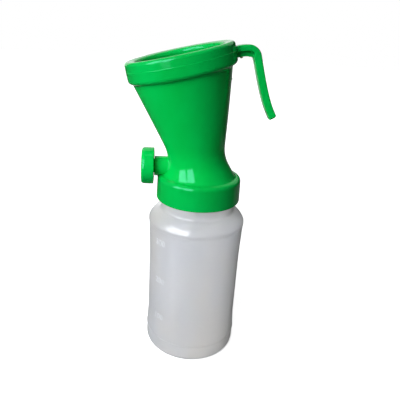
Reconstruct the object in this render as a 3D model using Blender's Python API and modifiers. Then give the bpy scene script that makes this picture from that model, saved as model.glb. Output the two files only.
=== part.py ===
"""A foaming teat dip cup: a squeeze bottle screwed into a moulded head with a slanted cup and a hook.

Squeezing the bottle drives liquid up the dip tube and air past the grooves of the mixer insert. Both go
through the sponge in the side plug's barrel and leave as foam through the grid in the cup's floor.

Metres, +Z up. The origin is where the bottle's axis meets the surface that it stands on. The head's plane of
symmetry is XZ: the hook is at +X, the plug and the cup's low side are at -X.
"""

import math
from dataclasses import dataclass
from typing import Iterable, Sequence

import bmesh
import bpy
from mathutils import Matrix, Vector

Point = tuple[float, float]

# Clearances and small edges
SEAT_GAP = 0.0003            # between faces that touch on the real object
SLIDE_GAP = 0.00035          # round a piece that slides or turns in a bore
EASE = 0.0003                # broken edge on the small pieces
KNOB_EASE = 0.0008           # and on the knob's open side

# Bottle
BOTTLE_RADIUS = 0.0330       # the body where it is full
BOTTLE_WALL = 0.0011
BODY_HEIGHT = 0.1102         # from the table to the foot of the neck
WAIST_INSET = 0.0002         # how far the grip is drawn in
GRIP_TOP_DROP = 0.0260       # from the shoulder's lower edge down to the grip
GRIP_FOOT_RISE = 0.0170      # from the base bead up to the grip
BASE_PROUD = 0.0007          # how far the base bead stands out
BEAD_TOP_Z = 0.0132          # upper edge of the base bead
BASE_FILLET = 0.0050
BASE_PAD_RADIUS = 0.0110     # flat pad in the middle of the base
BASE_RING_WIDTH = 0.0045     # flat ring that the bottle stands on
BASE_RECESS = 0.0007         # depth of the channel between pad and ring
SHOULDER_PROUD = 0.0011      # how far the shoulder stands out
SHOULDER_RISE = 0.0096       # height of the rounded shoulder
SHOULDER_POWER = 1.37        # 2 would be a quarter ellipse
SHOULDER_UNDERCUT = 0.0006   # the step under the shoulder's edge
SHOULDER_STEP = 0.0035       # and its height
MOULD_LINE = 0.0001          # ring lines left by the mould's inserts
MOULD_LINE_DROP = 0.0008
NECK_RADIUS = 0.0242         # screw neck without its thread
NECK_BAND_PROUD = 0.0014     # plain band under the thread
NECK_BAND_HEIGHT = 0.0093
NECK_HEIGHT = 0.0194
NECK_WALL_EXTRA = 0.0006     # the neck is thicker than the body

# Screw collar of the head
THREAD_ROOM = 0.0025         # radial room for the thread between neck and collar
COLLAR_WALL = 0.0024
COLLAR_DRAFT = 0.0003
COLLAR_LIFT = 0.0075         # from the foot of the neck up to the collar's open end
COLLAR_FILLET = 0.0028
COLLAR_EDGE = 0.0011
LEDGE_WIDTH = 0.0062         # the sealing ledge inside the collar
GASKET_THICKNESS = 0.0016
GASKET_INSET = 0.0008        # the gasket's hole is this much wider than the ledge's

# Neck and cup of the head
HEAD_WALL = 0.0022
FLARE_SHELF = 0.0052         # the collar's top between its side and the neck
FLARE_POWER = 1.55           # 1 would be a hollow quarter circle, 2 a straight cone
WAIST_RADIUS = 0.0190        # the narrowest round of the neck
WAIST_SHIFT = -0.0031        # the waist's centre leans towards the low side
CUP_LENGTH = 0.0530          # from the waist to the rim's lower edge, along the cup
CUP_LEAN_DEG = 12.9          # lean of the cup's middle line
RIM_TILT_DEG = 14.0          # tilt of the mouth
CUP_TOP_RADIUS = 0.0323      # the cup where it enters the rim
FLOOR_OVER_BORE = 0.0045     # from the plug's bore up to the cup's floor
FLOOR_THICKNESS = 0.0030
FLOOR_FILLET = 0.0020

# Rolled rim, measured along its own axis from the cup's top
RIM_PROUD = 0.0032           # how far the rim's widest line stands out from the cup
RIM_DRAFT = 0.0007           # how much narrower its foot is
RIM_HEIGHT = 0.0148
RIM_FOOT_RISE = 0.0009       # the rim's lower edge, above the cup's top
RIM_PART_LINE = 0.0088       # the mould's parting line
RIM_FOOT_FILLET = 0.0026
RIM_CROWN_DRAFT = 0.0004     # the side draws in this much up to the crown
RIM_CROWN = 0.0022           # radius of the rolled edge's outer side
RIM_LAND = 0.0018            # flat top between that edge and the lip
LIP_INSET = 0.0017           # how far the lip turns in from the cup's inner side
LIP_DEPTH = 0.0034
LIP_DRAFT = 0.0006

# Hook, a T-section in the plane of symmetry
HOOK_FLANGE_WIDTH = 0.0090
HOOK_FLANGE_THICKNESS = 0.0039  # along the top of the hook
HOOK_LEG_THICKNESS = 0.0046  # and down its leg
HOOK_EDGE = 0.0012           # rounding of the flange's outer edges
HOOK_WEB_THICKNESS = 0.0030
HOOK_WEB_EDGE = 0.0005
HOOK_WEB_ROOT = 0.0034       # depth of the web along the top of the hook
HOOK_WEB_LEG = 0.0002        # and down its leg
HOOK_TAPER = 0.12            # share of the width lost at the tip
HOOK_RISE = 0.0018           # how far the hook's back stands over its root
HOOK_ROOT_RISE = 0.0016      # the hook's root, above the parting line
HOOK_ROOT_DEPTH = 0.0030     # how deep the root sits in the rim
HOOK_REACH = 0.0201          # from the rim's side to the back of the leg
HOOK_BEND = 0.0085           # radius of the bend along the back
HOOK_LEG = 0.0396            # length of the leg
HOOK_LEG_LEAN_DEG = 16.2     # the leg's lean where it leaves the bend
HOOK_TIP_LEAN_DEG = 28.0     # and at its tip
HOOK_TIP_CAP = ((0.0010, 0.80), (0.0015, 0.45))  # advance and size of the tip's end rounds

# Spigot, side plug and sponge
SPIGOT_LIFT = 0.0009         # from the sealing ledge up to the spigot's lowest line
SPIGOT_WALL = 0.0018
PLUG_BORE_RADIUS = 0.0050
KNOB_STANDOFF = 0.0019       # from the collar's side to the spigot's open end
BORE_PAST_SPONGE = 0.0013    # how far the bore passes the sponge's inner end
BARREL_END_GAP = 0.0009      # between the barrel's end and the bore's
KNOB_RADIUS = 0.0125
KNOB_THICKNESS = 0.0084
KNOB_FILLET = 0.0028
KNOB_WALL = 0.0021
KNOB_FACE = 0.0028
KNOB_HUB_RADIUS = 0.0072
KNOB_RIB = 0.0012
BARREL_WALL = 0.0010
BARREL_WINDOW_WIDTH = 0.0044
PLUG_O_RING_TUBE = 0.0006
PLUG_O_RING_INSET = 0.0040   # from the spigot's end to the ring's middle
SPONGE_LENGTH = 0.0140

# Mixer insert, ball and dip tube
TUBE_RADIUS = 0.0030
TUBE_WALL = 0.0010
TUBE_FLOOR_GAP = 0.0042      # under the tube's slanted end
TUBE_CUT_DEG = 35.0
SOCKET_WALL = 0.0020
SOCKET_LENGTH = 0.0072       # how far the socket hangs below the sealing ledge's level
SOCKET_ROOF = 0.0009         # between the socket's bore and the plug's bore
INSERT_RADIUS = 0.0057
INSERT_FLANGE_THICKNESS = 0.0012
INSERT_NOZZLE_LENGTH = 0.0060
INSERT_NOZZLE_WALL = 0.0015
TUBE_LEAD_IN = 0.0006
AIR_GROOVE_WIDTH = 0.0018
AIR_GROOVE_DEPTH = 0.0014
AIR_GROOVES = 4
BALL_RADIUS = 0.0016
BALL_SEAT_RADIUS = 0.0010
BALL_SEAT_THICKNESS = 0.0012
BALL_SIDE_GAP = 0.0005
BALL_LIFT = 0.0016
BALL_REST_GAP = 0.00025
RETAINER_THICKNESS = 0.0007
RETAINER_LAND = 0.0010       # how much wider than the ball's chamber the retainer is
RETAINER_RING = 0.0008
RETAINER_BAR = 0.0008
RETAINER_TURN = 0.2          # radians, so that no bar lies over a groove
PORT_RADIUS = 0.0030

# Outlet in the cup's floor
OUTLET_RADIUS = 0.0034
OUTLET_WELL_RADIUS = 0.0068
OUTLET_WELL_DEPTH = 0.0016
GRID_LAP = 0.0016            # how far the grid's disc laps over the well's edge
GRID_THICKNESS = 0.0015
GRID_CROWN = 0.0008
GRID_EDGE = 0.0006
GRID_SKIRT_WALL = 0.0009
GRID_SLOTS = 8
GRID_SLOT_WIDTH = 0.0012
GRID_SLOT_FROM = 0.0020
GRID_SLOT_MARGIN = 0.0006    # from a slot's outer end to the skirt's inner side
SCREEN_THICKNESS = 0.0005

# Facets round a full turn
STEPS_LARGE = 40
STEPS_MEDIUM = 32
STEPS_SMALL = 24
PAST = 0.0010                # how far a cutter reaches past what it cuts
BITE = 0.0003                # how far a rib or bar sinks into what carries it
MERGE = 0.00001

# Radii that follow from the sizes above
NECK_BAND_RADIUS = NECK_RADIUS + NECK_BAND_PROUD
COLLAR_BORE_RADIUS = NECK_RADIUS + THREAD_ROOM
COLLAR_RADIUS = COLLAR_BORE_RADIUS + COLLAR_WALL
LEDGE_INNER_RADIUS = COLLAR_BORE_RADIUS - LEDGE_WIDTH
FLARE_FOOT_RADIUS = COLLAR_RADIUS - FLARE_SHELF
RIM_RADIUS = CUP_TOP_RADIUS + RIM_PROUD
RIM_TOP_RADIUS = RIM_RADIUS - RIM_CROWN_DRAFT - RIM_CROWN
RIM_MOUTH_RADIUS = CUP_TOP_RADIUS - HEAD_WALL - LIP_INSET
SPIGOT_RADIUS = PLUG_BORE_RADIUS + SPIGOT_WALL
SPIGOT_REACH = COLLAR_RADIUS + KNOB_STANDOFF
BORE_DEPTH = 0.5 * SPONGE_LENGTH + BORE_PAST_SPONGE
PLUG_SHANK_RADIUS = PLUG_BORE_RADIUS - SLIDE_GAP
PLUG_O_RING_RADIUS = PLUG_BORE_RADIUS - SEAT_GAP - PLUG_O_RING_TUBE
SOCKET_BORE_RADIUS = INSERT_RADIUS + SEAT_GAP
INSERT_FLANGE_RADIUS = SOCKET_BORE_RADIUS + SOCKET_WALL
GRID_RADIUS = OUTLET_WELL_RADIUS + GRID_LAP
GRID_SKIRT_RADIUS = OUTLET_WELL_RADIUS - SEAT_GAP
GRID_SLOT_TO = GRID_SKIRT_RADIUS - GRID_SKIRT_WALL - GRID_SLOT_MARGIN

# Heights that follow from the sizes above
MOUTH_Z = BODY_HEIGHT + NECK_HEIGHT
LEDGE_Z = MOUTH_Z + SEAT_GAP + GASKET_THICKNESS + SEAT_GAP
COLLAR_BOTTOM_Z = BODY_HEIGHT + COLLAR_LIFT
PLUG_Z = LEDGE_Z + SPIGOT_LIFT + SPIGOT_RADIUS
SOCKET_ROOF_Z = PLUG_Z - PLUG_BORE_RADIUS - SOCKET_ROOF
FLOOR_Z = PLUG_Z + PLUG_BORE_RADIUS + FLOOR_OVER_BORE
CEILING_Z = FLOOR_Z - FLOOR_THICKNESS
CUP_LEAN = math.radians(CUP_LEAN_DEG)
RIM_TILT = math.radians(RIM_TILT_DEG)
WAIST = Vector((WAIST_SHIFT, 0.0, FLOOR_Z))
CUP_TOP = WAIST + CUP_LENGTH * Vector((-math.sin(CUP_LEAN), 0.0, math.cos(CUP_LEAN)))

# Material colours, linear
GREEN = (0.004, 0.42, 0.078)
MILKY = (0.72, 0.73, 0.76)
NATURAL = (0.80, 0.80, 0.77)
WHITE = (0.82, 0.82, 0.80)
BLACK_RUBBER = (0.015, 0.015, 0.016)
FOAM_GREY = (0.30, 0.31, 0.32)
STEEL = (0.55, 0.56, 0.57)


@dataclass(frozen=True)
class Ring:
    """One round of a loft: a circle whose plane leans towards -X."""

    centre: Vector
    radius: float
    tilt: float = 0.0

    def points(self, steps: int) -> list[Vector]:
        along = Vector((math.cos(self.tilt), 0.0, math.sin(self.tilt)))
        across = Vector((0.0, 1.0, 0.0))
        turn = 2.0 * math.pi / steps
        return [
            self.centre + self.radius * (math.cos(i * turn) * along + math.sin(i * turn) * across)
            for i in range(steps)
        ]


def clear_scene() -> None:
    for obj in list(bpy.data.objects):
        bpy.data.objects.remove(obj, do_unlink=True)


def new_collection(name: str) -> bpy.types.Collection:
    collection = bpy.data.collections.new(name)
    bpy.context.scene.collection.children.link(collection)
    return collection


def material(
    name: str, colour: Sequence[float], roughness: float, metallic: float = 0.0
) -> bpy.types.Material:
    found = bpy.data.materials.get(name) or bpy.data.materials.new(name)
    found.use_nodes = True
    shader = found.node_tree.nodes["Principled BSDF"]
    shader.inputs["Base Color"].default_value = (*colour, 1.0)
    shader.inputs["Roughness"].default_value = roughness
    shader.inputs["Metallic"].default_value = metallic
    return found


def smooth(obj: bpy.types.Object, angle_deg: float = 35.0) -> None:
    obj.data.shade_smooth()
    obj.data.set_sharp_from_angle(angle=math.radians(angle_deg))


def add_object(name: str, mesh: bpy.types.Mesh, collection: bpy.types.Collection) -> bpy.types.Object:
    obj = bpy.data.objects.new(name, mesh)
    collection.objects.link(obj)
    return obj


def arc(centre: Point, radius: float, start_deg: float, end_deg: float, steps: int) -> list[Point]:
    """Points of an arc in the profile's plane, ends included; angles run from +r towards +z."""
    angles = [math.radians(start_deg + (end_deg - start_deg) * i / steps) for i in range(steps + 1)]
    return [(centre[0] + radius * math.cos(a), centre[1] + radius * math.sin(a)) for a in angles]


def eased(start: Point, end: Point, steps: int) -> list[Point]:
    """Points between two places on a profile, leaving and arriving straight up; ends left out."""
    points = []
    for i in range(1, steps):
        share = i / steps
        blend = 0.5 - 0.5 * math.cos(math.pi * share)
        points.append((start[0] + (end[0] - start[0]) * blend, start[1] + (end[1] - start[1]) * share))
    return points


def profile_object(
    name: str,
    profile: Sequence[Point],
    collection: bpy.types.Collection,
    steps: int,
    closed: bool,
) -> bpy.types.Object:
    """A profile of (radius, height) points turned about Z by a Screw modifier."""
    mesh = bpy.data.meshes.new(name)
    edges = [(i, i + 1) for i in range(len(profile) - 1)]
    if closed:
        edges.append((len(profile) - 1, 0))
    mesh.from_pydata([(r, 0.0, z) for r, z in profile], edges, [])
    obj = add_object(name, mesh, collection)
    screw = obj.modifiers.new("Turn", "SCREW")
    screw.steps = steps
    screw.render_steps = steps
    screw.use_merge_vertices = True
    screw.merge_threshold = MERGE
    screw.use_smooth_shade = False
    return obj


def make_mesh(obj: bpy.types.Object) -> bpy.types.Object:
    """Apply an object's modifiers, weld its seams and point its faces outwards."""
    evaluated = obj.evaluated_get(bpy.context.evaluated_depsgraph_get())
    mesh = bpy.data.meshes.new_from_object(evaluated)
    obj.modifiers.clear()
    obj.data = mesh
    clean_mesh(mesh)
    return obj


def clean_mesh(mesh: bpy.types.Mesh) -> None:
    work = bmesh.new()
    work.from_mesh(mesh)
    bmesh.ops.remove_doubles(work, verts=work.verts, dist=MERGE)
    bmesh.ops.dissolve_degenerate(work, edges=work.edges, dist=MERGE)
    bmesh.ops.recalc_face_normals(work, faces=work.faces)
    work.to_mesh(mesh)
    work.free()


def turned(
    name: str,
    profile: Sequence[Point],
    collection: bpy.types.Collection,
    steps: int = STEPS_SMALL,
    closed: bool = False,
) -> bpy.types.Object:
    bpy.context.view_layer.update()
    obj = profile_object(name, profile, collection, steps, closed)
    bpy.context.view_layer.update()
    return make_mesh(obj)


def lofted(
    name: str, rounds: Sequence[Sequence[Vector]], collection: bpy.types.Collection
) -> bpy.types.Object:
    """A closed skin through rounds of equal count; the first and the last round are closed flat."""
    work = bmesh.new()
    skins = [[work.verts.new(point) for point in points] for points in rounds]
    count = len(skins[0])
    for lower, upper in zip(skins, skins[1:]):
        for i in range(count):
            j = (i + 1) % count
            work.faces.new((lower[i], lower[j], upper[j], upper[i]))
    work.faces.new(list(reversed(skins[0])))
    work.faces.new(skins[-1])
    bmesh.ops.recalc_face_normals(work, faces=work.faces)
    mesh = bpy.data.meshes.new(name)
    work.to_mesh(mesh)
    work.free()
    return add_object(name, mesh, collection)


def cylinder(
    name: str,
    radius: float,
    start: Vector,
    end: Vector,
    collection: bpy.types.Collection,
    steps: int = STEPS_SMALL,
) -> bpy.types.Object:
    """A solid cylinder from one point to another."""
    work = bmesh.new()
    span = end - start
    bmesh.ops.create_cone(
        work, cap_ends=True, segments=steps, radius1=radius, radius2=radius, depth=span.length
    )
    turn = span.to_track_quat("Z", "Y").to_matrix().to_4x4()
    bmesh.ops.transform(work, matrix=Matrix.Translation((start + end) / 2.0) @ turn, verts=work.verts)
    mesh = bpy.data.meshes.new(name)
    work.to_mesh(mesh)
    work.free()
    return add_object(name, mesh, collection)


def block(
    name: str,
    size: Vector,
    centre: Vector,
    collection: bpy.types.Collection,
    turn: Matrix | None = None,
) -> bpy.types.Object:
    """A solid box about its centre, turned before it is placed."""
    work = bmesh.new()
    bmesh.ops.create_cube(work, size=1.0)
    shape = Matrix.Diagonal((*size, 1.0))
    if turn is not None:
        shape = turn @ shape
    bmesh.ops.transform(work, matrix=Matrix.Translation(centre) @ shape, verts=work.verts)
    mesh = bpy.data.meshes.new(name)
    work.to_mesh(mesh)
    work.free()
    return add_object(name, mesh, collection)


def combine(obj: bpy.types.Object, tools: Iterable[bpy.types.Object], operation: str) -> None:
    """Add Boolean modifiers for the tools, and mark each tool as a cutter that isn't shown."""
    for tool in tools:
        tool.hide_render = True
        tool.display_type = "WIRE"
        modifier = obj.modifiers.new(f"{operation.title()} {tool.name}", "BOOLEAN")
        modifier.operation = operation
        modifier.solver = "EXACT"
        modifier.object = tool


def superellipse_shoulder(outer: float, inner: float, low_z: float, steps: int) -> list[Point]:
    """From the neck down to the full body: both coordinates are powers of a sine and a cosine."""
    points = []
    for i in range(steps + 1):
        angle = 0.5 * math.pi * i / steps
        across = math.sin(angle) ** (2.0 / SHOULDER_POWER)
        up = math.cos(angle) ** (2.0 / SHOULDER_POWER)
        points.append((inner + (outer - inner) * across, low_z + SHOULDER_RISE * up))
    return points


def bottle_outline() -> list[Point]:
    """The bottle's outer side from the mouth down to the base's pad."""
    shoulder_z = BODY_HEIGHT - SHOULDER_RISE
    bead_radius = BOTTLE_RADIUS + BASE_PROUD
    shoulder_radius = BOTTLE_RADIUS + SHOULDER_PROUD
    under_shoulder = (shoulder_radius - SHOULDER_UNDERCUT, shoulder_z - SHOULDER_STEP)
    grip = BOTTLE_RADIUS - WAIST_INSET
    grip_top = (grip, shoulder_z - GRIP_TOP_DROP)
    grip_foot = (grip, BEAD_TOP_Z + GRIP_FOOT_RISE)
    band_top_z = BODY_HEIGHT + NECK_BAND_HEIGHT
    ring_outer = bead_radius - BASE_FILLET
    ring_inner = ring_outer - BASE_RING_WIDTH
    outline: list[Point] = [
        (NECK_RADIUS, MOUTH_Z),
        (NECK_RADIUS, band_top_z + NECK_BAND_PROUD),
        (NECK_BAND_RADIUS, band_top_z),
    ]
    outline += superellipse_shoulder(shoulder_radius, NECK_BAND_RADIUS, shoulder_z, 5)
    outline += [(shoulder_radius - MOULD_LINE, shoulder_z - MOULD_LINE_DROP), under_shoulder]
    outline += eased(under_shoulder, grip_top, 3)
    outline += [grip_top, grip_foot]
    outline += eased(grip_foot, (bead_radius, BEAD_TOP_Z), 3)
    outline += [(bead_radius, BEAD_TOP_Z), (bead_radius - MOULD_LINE, BEAD_TOP_Z - MOULD_LINE_DROP)]
    outline += arc((ring_outer, BASE_FILLET), BASE_FILLET, 0.0, -90.0, 4)
    outline += [
        (ring_inner, 0.0),
        (ring_inner - BASE_RECESS, BASE_RECESS),
        (BASE_PAD_RADIUS + BASE_RECESS, BASE_RECESS),
        (BASE_PAD_RADIUS, 0.0),
        (0.0, 0.0),
    ]
    return outline


def make_bottle(parts: bpy.types.Collection) -> bpy.types.Object:
    """The blow-moulded bottle: its outline turned, then given its wall inwards, thicker at the neck."""
    outline = bottle_outline()
    obj = profile_object("bottle", outline, parts, STEPS_LARGE, closed=False)
    group = obj.vertex_groups.new(name="wall")
    thick = BOTTLE_WALL + NECK_WALL_EXTRA
    for index, (_, height) in enumerate(outline):
        weight = 1.0 if height > BODY_HEIGHT else BOTTLE_WALL / thick
        group.add([index], weight, "REPLACE")
    wall = obj.modifiers.new("Wall", "SOLIDIFY")
    wall.thickness = thick
    wall.offset = -1.0
    wall.use_rim = True
    wall.use_even_offset = True
    wall.vertex_group = "wall"
    bpy.context.view_layer.update()
    make_mesh(obj)
    smooth(obj)
    obj.data.materials.append(material("milky_soft_plastic", MILKY, 0.35))
    return obj


def rim_point(radius: float, rise: float) -> Ring:
    """A round of the rim: rise is measured along the rim's own axis from the cup's top."""
    axis = Vector((-math.sin(RIM_TILT), 0.0, math.cos(RIM_TILT)))
    return Ring(CUP_TOP + axis * rise, radius, RIM_TILT)


def cup_ring(share: float, inset: float) -> Ring:
    """A round of the cup between the waist (0) and the rim (1), drawn in by inset."""
    radius = WAIST_RADIUS + (CUP_TOP_RADIUS - WAIST_RADIUS) * share
    return Ring(WAIST.lerp(CUP_TOP, share), radius - inset, RIM_TILT * share)


def neck_ring(share: float, inset: float) -> Ring:
    """A round of the neck between the collar (0) and the waist (1).

    The outline is a hollow quarter of a superellipse.
    """
    low_z = LEDGE_Z + COLLAR_FILLET
    angle = 0.5 * math.pi * share
    across = 1.0 - math.sin(angle) ** FLARE_POWER
    up = 1.0 - math.cos(angle) ** FLARE_POWER
    radius = WAIST_RADIUS + (FLARE_FOOT_RADIUS + COLLAR_FILLET * 0.5 - WAIST_RADIUS) * across
    centre = Vector((WAIST_SHIFT * up * up, 0.0, low_z + (FLOOR_Z - low_z) * up))
    return Ring(centre, radius - inset, 0.0)


def blended(lower: Ring, corner: Ring, upper: Ring, steps: int) -> list[Ring]:
    """Rounds that turn the corner between two rounds along a quadratic curve, both ends included."""
    rings = []
    for i in range(steps + 1):
        share = i / steps
        weights = ((1.0 - share) ** 2, 2.0 * share * (1.0 - share), share ** 2)
        mixed = list(zip(weights, (lower, corner, upper)))
        centre = sum((weight * ring.centre for weight, ring in mixed), Vector())
        radius = sum(weight * ring.radius for weight, ring in mixed)
        tilt = sum(weight * ring.tilt for weight, ring in mixed)
        rings.append(Ring(centre, radius, tilt))
    return rings


def axis_ring(radius: float, height: float) -> Ring:
    return Ring(Vector((0.0, 0.0, height)), radius)


def hollow_rings() -> list[Ring]:
    """Inside the neck from the ceiling down: the rounds that lie clear of the ceiling."""
    hollow = [neck_ring(share, HEAD_WALL) for share in (0.86, 0.66, 0.46, 0.26)]
    hollow = [ring for ring in hollow if ring.centre.z < CEILING_Z - PAST]
    top = Ring(Vector((hollow[0].centre.x, 0.0, CEILING_Z)), hollow[0].radius - EASE)
    return [top, *hollow]


def collar_rings() -> list[Ring]:
    """From the sealing ledge down the collar's bore and up its outer side to the neck."""
    rings = [
        axis_ring(LEDGE_INNER_RADIUS, LEDGE_Z),
        axis_ring(COLLAR_BORE_RADIUS, LEDGE_Z),
        axis_ring(COLLAR_BORE_RADIUS, COLLAR_BOTTOM_Z + COLLAR_EDGE),
        axis_ring(COLLAR_BORE_RADIUS + COLLAR_EDGE, COLLAR_BOTTOM_Z),
        axis_ring(COLLAR_RADIUS - COLLAR_EDGE, COLLAR_BOTTOM_Z),
        axis_ring(COLLAR_RADIUS, COLLAR_BOTTOM_Z + COLLAR_EDGE),
    ]
    fillet_centre = (COLLAR_RADIUS - COLLAR_DRAFT - COLLAR_FILLET, LEDGE_Z)
    rings += [axis_ring(*point) for point in arc(fillet_centre, COLLAR_FILLET, 0.0, 80.0, 4)]
    return rings


def rim_rings() -> list[Ring]:
    """Round the rolled rim: its foot, its drafted side, its crown, its flat land and the lip that turns in."""
    foot_centre = (RIM_RADIUS - RIM_DRAFT - RIM_FOOT_FILLET, RIM_FOOT_RISE + RIM_FOOT_FILLET)
    crown_centre = (RIM_TOP_RADIUS, RIM_HEIGHT - RIM_CROWN)
    lip_top = RIM_TOP_RADIUS - RIM_LAND
    lip = lip_top - RIM_MOUTH_RADIUS
    lip_centre = (lip_top, RIM_HEIGHT - lip)
    points = arc(foot_centre, RIM_FOOT_FILLET, -90.0, 0.0, 4)
    points.append((RIM_RADIUS, RIM_PART_LINE))
    points += arc(crown_centre, RIM_CROWN, 0.0, 90.0, 4)
    points += arc(lip_centre, lip, 90.0, 180.0, 3)
    points.append((RIM_MOUTH_RADIUS + LIP_DRAFT, RIM_HEIGHT - lip - LIP_DEPTH))
    return [rim_point(*point) for point in points]


def head_rings() -> list[Ring]:
    """The head's skin: up inside the neck, down the collar's bore, up the outside and down inside the cup."""
    near_rim = 0.995
    rings = hollow_rings() + collar_rings()
    rings += [neck_ring(share, 0.0) for share in (0.08, 0.26, 0.42)]
    rings += blended(neck_ring(0.58, 0.0), cup_ring(0.0, 0.0), cup_ring(0.13, 0.0), 5)
    rings += [cup_ring(share, 0.0) for share in (0.45, 0.72, near_rim)]
    rings += rim_rings()
    rings += [cup_ring(share, HEAD_WALL) for share in (near_rim, 0.66, 0.33, 0.06)]
    floor_corner = (WAIST_RADIUS - HEAD_WALL - FLOOR_FILLET, FLOOR_Z + FLOOR_FILLET)
    for radius, height in arc(floor_corner, FLOOR_FILLET, -20.0, -90.0, 3):
        rings.append(Ring(Vector((WAIST_SHIFT, 0.0, height)), radius))
    return rings


def hook_line() -> list[tuple[Vector, float]]:
    """Points along the hook's back with the slope of the path there, from inside the rim to the tip."""
    root = rim_point(RIM_RADIUS, RIM_PART_LINE + HOOK_ROOT_RISE)
    side = root.centre + Vector((math.cos(RIM_TILT), 0.0, math.sin(RIM_TILT))) * RIM_RADIUS
    start = side - Vector((HOOK_ROOT_DEPTH, 0.0, EASE))
    crest = side + Vector((HOOK_REACH - HOOK_ROOT_DEPTH - HOOK_BEND, 0.0, HOOK_RISE))
    bend_centre = crest - Vector((0.0, 0.0, HOOK_BEND))
    lean = math.radians(HOOK_LEG_LEAN_DEG)
    bow = math.radians(HOOK_TIP_LEAN_DEG) - lean
    points: list[tuple[Vector, float]] = []
    rise_steps = 3
    for i in range(rise_steps):
        share = i / rise_steps
        height = start.z + (crest.z - start.z) * math.sin(0.5 * math.pi * share)
        slope = math.atan2(crest.z - start.z, crest.x - start.x) * (1.0 - share)
        points.append((Vector((start.x + (crest.x - start.x) * share, 0.0, height)), slope))
    bend_steps = 7
    for i in range(bend_steps + 1):
        turn = (0.5 * math.pi - lean) * i / bend_steps
        spot = bend_centre + HOOK_BEND * Vector((math.sin(turn), 0.0, math.cos(turn)))
        points.append((spot, -turn))
    leg_steps = 6
    spot = points[-1][0]
    for i in range(1, leg_steps + 1):
        heading = lean + bow * (i / leg_steps) ** 3
        spot = spot + HOOK_LEG / leg_steps * Vector((math.sin(heading), 0.0, -math.cos(heading)))
        points.append((spot, heading - 0.5 * math.pi))
    return points


def hook_section(thick: float, depth: float, scale: float) -> list[Point]:
    """The T-section as (across, down from the back): a flange with rounded outer edges and a web under it."""
    half = HOOK_FLANGE_WIDTH / 2.0 * scale
    web = HOOK_WEB_THICKNESS / 2.0 * scale
    edge = min(HOOK_WEB_EDGE, 0.5 * depth)
    right = [(half - HOOK_EDGE, 0.0), (half - 0.3 * HOOK_EDGE, 0.3 * HOOK_EDGE), (half, HOOK_EDGE)]
    right += [(half, thick - 0.4 * HOOK_EDGE), (half - 0.4 * HOOK_EDGE, thick), (web, thick)]
    right += [(web, thick + depth - edge), (web - edge, thick + depth)]
    left = [(-across, down) for across, down in reversed(right)]
    return right + left


def make_hook(cutters: bpy.types.Collection) -> bpy.types.Object:
    """The hook as a loft of its T-section, square to the line of its back."""
    line = hook_line()
    last = len(line) - 1
    web_fades_from = 7
    web_fades_over = 4.0
    rounds = []
    for index, (spot, slope) in enumerate(line):
        down_leg = min(max((index - web_fades_from) / web_fades_over, 0.0), 1.0)
        depth = HOOK_WEB_ROOT + (HOOK_WEB_LEG - HOOK_WEB_ROOT) * down_leg
        thick = HOOK_FLANGE_THICKNESS + (HOOK_LEG_THICKNESS - HOOK_FLANGE_THICKNESS) * down_leg
        inward = Vector((math.sin(slope), 0.0, -math.cos(slope)))
        rounds.append([
            spot + inward * down + Vector((0.0, across, 0.0))
            for across, down in hook_section(thick, depth, 1.0 - HOOK_TAPER * index / last)
        ])
    tip_slope = line[-1][1]
    heading = Vector((math.cos(tip_slope), 0.0, math.sin(tip_slope)))
    middle = sum(rounds[last], Vector()) / len(rounds[last])
    for advance, size in HOOK_TIP_CAP:
        rounds.append([middle + (point - middle) * size + heading * advance for point in rounds[last]])
    return lofted("hook_body", rounds, cutters)


def make_head(parts: bpy.types.Collection, cutters: bpy.types.Collection) -> bpy.types.Object:
    """The green moulding: collar, neck, cup, rim and hook, with the plug's bore and the mixer's socket."""
    head = lofted("cup_head", [ring.points(STEPS_LARGE) for ring in head_rings()], parts)
    axis = Vector((0.0, 0.0, PLUG_Z))
    outward = Vector((-1.0, 0.0, 0.0))
    spigot = cylinder(
        "spigot_body", SPIGOT_RADIUS, axis + outward * SPIGOT_REACH,
        axis - outward * (BORE_DEPTH + SPIGOT_WALL), cutters, STEPS_SMALL,
    )
    socket_foot = Vector((0.0, 0.0, LEDGE_Z - SOCKET_LENGTH))
    socket_roof = Vector((0.0, 0.0, SOCKET_ROOF_Z))
    past = Vector((0.0, 0.0, PAST))
    socket = cylinder("socket_body", INSERT_FLANGE_RADIUS, socket_foot, axis, cutters, STEPS_SMALL)
    combine(head, (spigot, socket, make_hook(cutters)), "UNION")
    outlet_foot = Vector((WAIST_SHIFT, 0.0, PLUG_Z))
    well_foot = WAIST - Vector((0.0, 0.0, OUTLET_WELL_DEPTH))
    holes = (
        cylinder(
            "plug_bore", PLUG_BORE_RADIUS, axis + outward * (SPIGOT_REACH + PAST),
            axis - outward * BORE_DEPTH, cutters, STEPS_SMALL,
        ),
        cylinder("socket_bore", SOCKET_BORE_RADIUS, socket_foot - past, socket_roof, cutters, STEPS_SMALL),
        cylinder("inlet_port", PORT_RADIUS, socket_roof - past, axis, cutters, STEPS_SMALL),
        cylinder("outlet_port", OUTLET_RADIUS, outlet_foot, WAIST + past, cutters, STEPS_SMALL),
        cylinder("outlet_well", OUTLET_WELL_RADIUS, well_foot, WAIST + past, cutters, STEPS_SMALL),
    )
    combine(head, holes, "DIFFERENCE")
    smooth(head)
    head.data.materials.append(material("green_gloss_plastic", GREEN, 0.22))
    return head


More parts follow.
